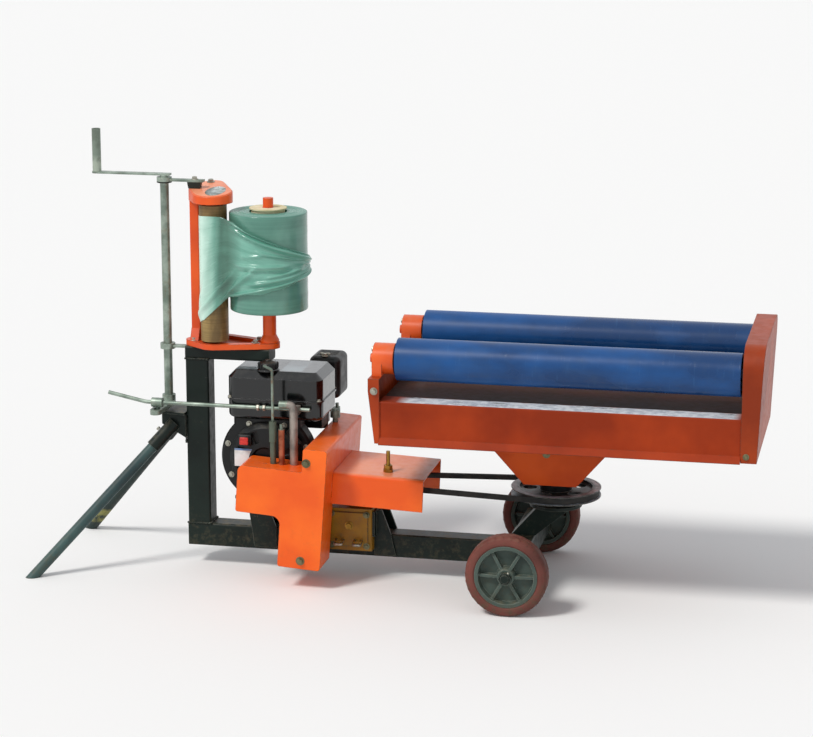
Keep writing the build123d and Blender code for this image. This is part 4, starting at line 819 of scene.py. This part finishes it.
# Film web.
# The loose end of the film, thin and glossy: it leaves the front stretch roller at full width, clings round the
# roll, and is drawn in towards its torn tail, so it lies in tension folds and small creases.
# The web's colour carries a painted highlight where it wraps the front stretch roller, and painted shade in the hollow
# after it.
roller_low, roller_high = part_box("stretch_roller_front")
stretcher = (roller_low + roller_high) / 2
film_gap = 0.0006
near_radius = (roller_high.x - roller_low.x) / 2 + film_gap
far_radius = roll_radius + film_gap
apart = (roll - stretcher).xy
free_run = math.sqrt(apart.length ** 2 - (far_radius - near_radius) ** 2)
leaves = math.atan2(apart.y, apart.x) - math.acos((near_radius - far_radius) / apart.length)
first_turn, last_turn = math.radians(114), math.radians(115)
first_wrap = near_radius * first_turn
web_length = first_wrap + free_run + far_radius * last_turn
film_wide, film_thick, web_area = 0.25, 0.0003, 0.075


def web_line(run):
    """The web's place in plan at a length along it, and the way that its outer face looks there."""
    if run < first_wrap:
        turn = leaves - (first_wrap - run) / near_radius
        out = Vector((math.cos(turn), math.sin(turn)))
        return stretcher.xy + out * near_radius, out
    if run < first_wrap + free_run:
        out = Vector((math.cos(leaves), math.sin(leaves)))
        start, end = stretcher.xy + out * near_radius, roll.xy + out * far_radius
        return start.lerp(end, (run - first_wrap) / free_run), out
    turn = leaves + (run - first_wrap - free_run) / far_radius
    out = Vector((math.cos(turn), math.sin(turn)))
    return roll.xy + out * far_radius, out


def eased(value, start, end):
    """0 before start, 1 after end, and a smooth rise between them."""
    share = min(1.0, max(0.0, (value - start) / (end - start)))
    return share * share * (3 - 2 * share)


def along_line(value, points):
    """Height on a line through (place, height) points."""
    for (a, low), (b, high) in zip(points, points[1:]):
        if value <= b:
            return low + (high - low) * (value - a) / (b - a)
    return points[-1][1]


upper_edge = [(0.0, 0.236), (0.12, 0.238), (0.30, 0.242), (0.40, 0.232), (0.50, 0.212), (0.74, 0.172), (1.0, 0.136)]
lower_edge = [(0.0, -0.034), (0.10, -0.034), (0.16, -0.024), (0.27, 0.014), (0.36, 0.042), (0.46, 0.05), (0.62, 0.058),
              (0.80, 0.078), (1.0, 0.102)]
# Each fold runs from one (along, up) to another, as shares of the web, with its height and width in millimetres.
# A height below zero is a valley beside a fold.
folds = [((0.36, 0.99), (1.00, 0.86), 10.5, 9), ((0.40, 0.90), (1.00, 0.66), 8.25, 7),
         ((0.56, 0.74), (0.98, 0.56), 5.1, 6), ((0.13, 0.10), (0.24, 0.90), 3.9, 12),
         ((0.30, 0.99), (0.27, 0.20), 6.0, 13), ((0.42, 0.44), (0.74, 0.55), 6.6, 7),
         ((0.46, 0.58), (0.60, 0.70), 3.9, 6), ((0.08, 0.04), (0.40, 0.34), 6.6, 8),
         ((0.36, 0.06), (0.56, 0.46), 7.5, 8), ((0.30, 0.03), (0.46, 0.30), 5.4, 6),
         ((0.38, 0.02), (1.00, 0.16), 9.0, 7), ((0.50, 0.16), (0.98, 0.34), 6.6, 7),
         ((0.70, 0.94), (1.00, 0.78), 4.5, 5), ((0.62, 0.30), (0.86, 0.48), 4.5, 6),
         ((0.05, 0.00), (0.14, 0.30), 3.0, 7), ((0.40, 0.95), (1.00, 0.76), -6.75, 5),
         ((0.66, 0.70), (1.00, 0.60), -3.75, 4), ((0.44, 0.36), (0.80, 0.42), -3.75, 5)]


def web_height(along, up):
    """Height above the front stretch roller's foot, at shares along and up the web."""
    low, high = along_line(along, lower_edge), along_line(along, upper_edge)
    low += 0.0014 * math.sin(along * 41) * eased(along, 0.2, 0.5)
    return low + (high - low) * up


form = bmesh.new()
bmesh.ops.create_grid(form, x_segments=190, y_segments=84, size=0.5)
uv = form.loops.layers.uv.new("UVMap")
shares = {vert: (vert.co.x + 0.5, vert.co.y + 0.5) for vert in form.verts}
for face in form.faces:
    for corner in face.loops:
        corner[uv].uv = shares[corner.vert]
for vert, (along, up) in shares.items():
    run, height = along * web_length, web_height(along, up)
    lift = film_thick
    for (a, b), (c, d), rise, width in folds:
        start = Vector((a * web_length, web_height(a, b)))
        way = Vector((c * web_length, web_height(c, d))) - start
        here = Vector((run, height)) - start
        share = here.dot(way) / way.length_squared
        off = (here.x * way.y - here.y * way.x) / way.length
        off /= width / 1000 * (1.0 if off > 0 else 0.5)
        fade = eased(share, -0.12, 0.15) * (1 - eased(share, 0.82, 1.12))
        lift += rise / 1000 * math.exp(-off * off) * fade
    belly = eased(along, 0.34, 0.56) * (1 - eased(along, 0.84, 1.0)) * math.sin(math.pi * up ** 0.7)
    pleats = eased(along, 0.62, 1.0) * (0.5 + 0.5 * math.cos(up * 27 + 3 * along))
    slack = noise.noise(Vector((run * 14, height * 20, 3.0))) + 0.5 * noise.noise(Vector((run * 40, height * 46, 8.0)))
    lift += 0.0075 * belly + 0.0024 * pleats + 0.0022 * (0.5 + slack) * eased(along, 0.16, 0.42)
    lift = max(lift, film_thick)
    place, out = web_line(run)
    place = place + out * lift
    vert.co = Vector((place.x, place.y, roll_low.z + height))
bmesh.ops.recalc_face_normals(form, faces=form.faces)
if sum(face.normal.y for face in form.faces) >= 0:
    bmesh.ops.reverse_faces(form, faces=form.faces)
film_sheet, tree, shader = new_finish("stretched_green_film", Coat_Weight=0.4, Coat_Roughness=0.2,
                                      Specular_IOR_Level=0.5)
place = wire(tree, "UVMap", uv_map="UVMap")
drawn = wire(tree, "Mapping", {"Vector": place, "Scale": (2.4, 7.0, 1.0)})
bands = wire(tree, "TexNoise", {"Vector": drawn, "Scale": 1.0, "Detail": 5.0, "Roughness": 0.6})
cloud = wire(tree, "TexNoise", {"Vector": place, "Scale": 5.0, "Detail": 3.0})
tone = wire(tree, "Mix", wire(tree, "MapRange", bands, 0.36, 0.66), "#5b9886", "#79b3a1", data_type="RGBA")
run_share = wire(tree, "SeparateXYZ", place)
# Painted highlight: the film is made pale where it wraps the front stretch roller.
tone = wire(tree, "Mix", wire(tree, "MapRange", run_share, 0.26, 0.15, 0.0, 0.9), tone, "#d2f0e2", data_type="RGBA")
# Painted shade: the film is darkened in the hollow where it runs from the roller onto the roll.
painted_fold_shade = within(tree, run_share, (0.23, 0.31), (0.46, 0.35, 0.0, 0.8))
tone = wire(tree, "Mix", painted_fold_shade, tone, "#28503f", data_type="RGBA")
tone = wire(tree, "Mix", wire(tree, "MapRange", cloud, 0.42, 0.66, 0.0, 0.3), tone, "#5f9a86", data_type="RGBA")
creases = mottle(tree, 60.0, 4)
give(tree, shader, Base_Color=tone, Roughness=wire(tree, "MapRange", bands, 0.3, 0.7, 0.2, 0.36),
     Normal=raised(tree, creases, 0.15, 0.001))
web = made_piece("loose_film", form, "chassis", film_sheet, 180)
skin = web.modifiers.new("thickness", "SOLIDIFY")
skin.thickness = film_thick
skin.offset = 1.0
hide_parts("film_web")

# Wrapping table.
# A welded sheet steel tray in orange enamel on a tapering bolted hopper, with lipped aprons, a strip rubbed down to
# the steel along the front flange, and bolted bearing drums at its stand end. The aprons, hopper, left end and chain
# case take darker red-orange copies of the paint as painted shade, and the tray a nearly black one; the rubbed strip's
# pale bluish tone is a painted sky reflection on the bare steel.
def worn_strip_and_painted_reflection(tree, colour):
    """The front flange's edge, rubbed down to the steel by the bales, with black scuffs; its pale bluish-white tone is
    a painted sky reflection.
    """
    along, up = spot_of(tree, 0), spot_of(tree, 2)
    ragged = wire(tree, "Math", mottle(tree, 30.0, 4), 0.012, operation="MULTIPLY")
    reach = wire(tree, "Math", spot_of(tree, 1), ragged, operation="ADD")
    front = within(tree, reach, (-0.168, -0.171), (-0.2285, -0.2265))
    ends = within(tree, along, (turn_x - 0.36, turn_x - 0.33), (turn_x + 0.468, turn_x + 0.45))
    flat = both(tree, (facing(tree, 2), 0.8, 0.95), (up, 0.5, 0.503))
    rubbed = patchy(tree, 50.0, 6, 0.22, 0.32)
    for mask in (front, flat, ends):
        rubbed = wire(tree, "Math", rubbed, mask, operation="MULTIPLY")
    scuffs = patchy(tree, 30.0, 7, 0.58, 0.68, stretch=(0.4, 1.0, 1.0), rough=0.7)
    # Bare steel from wear, its pale bluish-white tone a painted sky reflection.
    steel = two_toned(tree, "#bcc2cb", "#e2e6ea", 60.0, 4, 0.4, 0.6)
    steel = wire(tree, "Mix", scuffs, steel, "#2c2f33", data_type="RGBA")
    return wire(tree, "Mix", rubbed, colour, steel, data_type="RGBA")


# Painted shade: the aprons and their welds take a darker red-orange copy of the orange paint.
table_orange_painted_shade = enamel("red_orange_table_enamel", "#882a08", "#a4380e", "#5f3a26", gloss=0.48, dust=0.03, chipped=0.45,
                      streaks=0.2, shine=0.15, patch=worn_strip_and_painted_reflection)
coat(table_orange_painted_shade, "table_front_apron", "table_rear_apron")
# Painted shade: the hopper takes a darker copy of the orange paint.
coat(enamel("orange_hopper_enamel", "#b03c0c", "#cc5016", "#5f3a26", gloss=0.5, dust=0.03, chipped=0.45, streaks=0.2,
            shine=0.15), "table_pedestal")
# Painted shade: the tray floor and deck take a nearly black copy of the orange paint.
coat(enamel("dulled_tray_enamel", "#240f0a", "#38170e", "#3a2a22", gloss=0.55, dust=0.06, chipped=0.5, streaks=0.5,
            shine=0.15), "table_floor", "deck_plate")
# Painted shade: the left end takes a darker copy of the orange paint.
coat(enamel("orange_end_enamel", "#92300a", "#b44212", "#6d4636", gloss=0.4, dust=0.06, chipped=0.6, streaks=0.2,
            shine=0.2), "table_left_end")
# Painted shade: the chain case takes a darker copy of the orange paint.
coat(enamel("orange_case_enamel", "#842c08", "#a23c10", "#6d4636", gloss=0.42, dust=0.06, chipped=0.6, streaks=0.2,
            shine=0.2), "chain_case")
coat(enamel("orange_drum_enamel", "#d8501a", "#f0682c", "#6d4636", gloss=0.3, dust=0.2, chipped=0.6, shine=0.35),
     "roller_bearings")
apron_low, apron_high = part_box("table_front_apron")
case_low, case_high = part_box("chain_case")
thin_bead, apron_face, hopper_side, hopper_top = 0.003, 0.2322, 125.5, 419.5
form = bmesh.new()
for side in (-1, 1):
    for x in (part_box("table_left_end")[1].x + 0.0004, case_low.x - 0.0004):
        weld(form, (x, side * apron_face, apron_low.z + 0.006), (x, side * apron_face, apron_high.z - 0.004), thin_bead)
    for x in (-150, -60, 40, 130):
        weld(form, spot(x, side * hopper_side, hopper_top), spot(x + 26, side * hopper_side, hopper_top), thin_bead)
made_piece("table_welds", form, "table", table_orange_painted_shade, 60)
for name, side in (("near", -1), ("far", 1)):
    place, normal = seat("table_pedestal", spot(-8, side * 300, 364), (0, -side, 0))
    bolts("hopper_bolt_" + name, [place], normal, 0.011, 0.005, "table", old_bolt)
    place, normal = seat("table_left_end", spot(-412, side * 300, 530), (0, -side, 0))
    bolts("end_bolt_" + name, [place], normal, 0.011, 0.006, "table", bolt_zinc)
bolts("drum_bolts", [spot(-423, y, 598 + dz) for y in (-170, 170) for dz in (-22.4, 22.4)], (-1, 0, 0), 0.012, 0.006,
      "table", bolt_zinc, 0.02)

# Rollers.
# Two lengths of blue plastic pipe that run between the bearing drums and the chain case. Bales have polished them
# in cloudy bands and left faint scratches and a little dirt.
roller_blue, tree, shader = new_finish("blue_plastic_pipe", Specular_IOR_Level=0.35)
band = patchy(tree, 7.0, 4, 0.4, 0.62, stretch=(0.5, 1, 1))
scratch = patchy(tree, 40.0, 6, 0.6, 0.68, 0.0, 0.25, stretch=(6.0, 0.4, 0.4), rough=0.7)
dirt = patchy(tree, 26.0, 6, 0.5, 0.85, 0.0, 0.14)
tone = wire(tree, "Mix", band, "#0a386a", "#104f8e", data_type="RGBA")
tone = wire(tree, "Mix", scratch, tone, "#3d6f9f", data_type="RGBA")
height = wire(tree, "Math", mottle(tree, 5.0, 2), scratch, operation="SUBTRACT")
give(tree, shader, Base_Color=wire(tree, "Mix", dirt, tone, "#4c5a5c", data_type="RGBA"),
     Roughness=wire(tree, "MapRange", band, 0.0, 1.0, 0.26, 0.42), Normal=raised(tree, height, 0.2, 0.0012, 0.002))
coat(roller_blue, "bale_roller_front", "bale_roller_rear")

# Chain case.
# A pressed steel case, rounded at its top corners, that covers the chain between the rollers. One bolt low on each
# side holds its cover.
for name, side, y in (("near", -1, case_low.y), ("far", 1, case_high.y)):
    place = ((case_low.x + case_high.x) / 2 - 0.012, y, case_low.z + 0.016)
    bolts("case_corner_bolt_" + name, [place], (0, side, 0), 0.009, 0.004, "table", old_bolt)
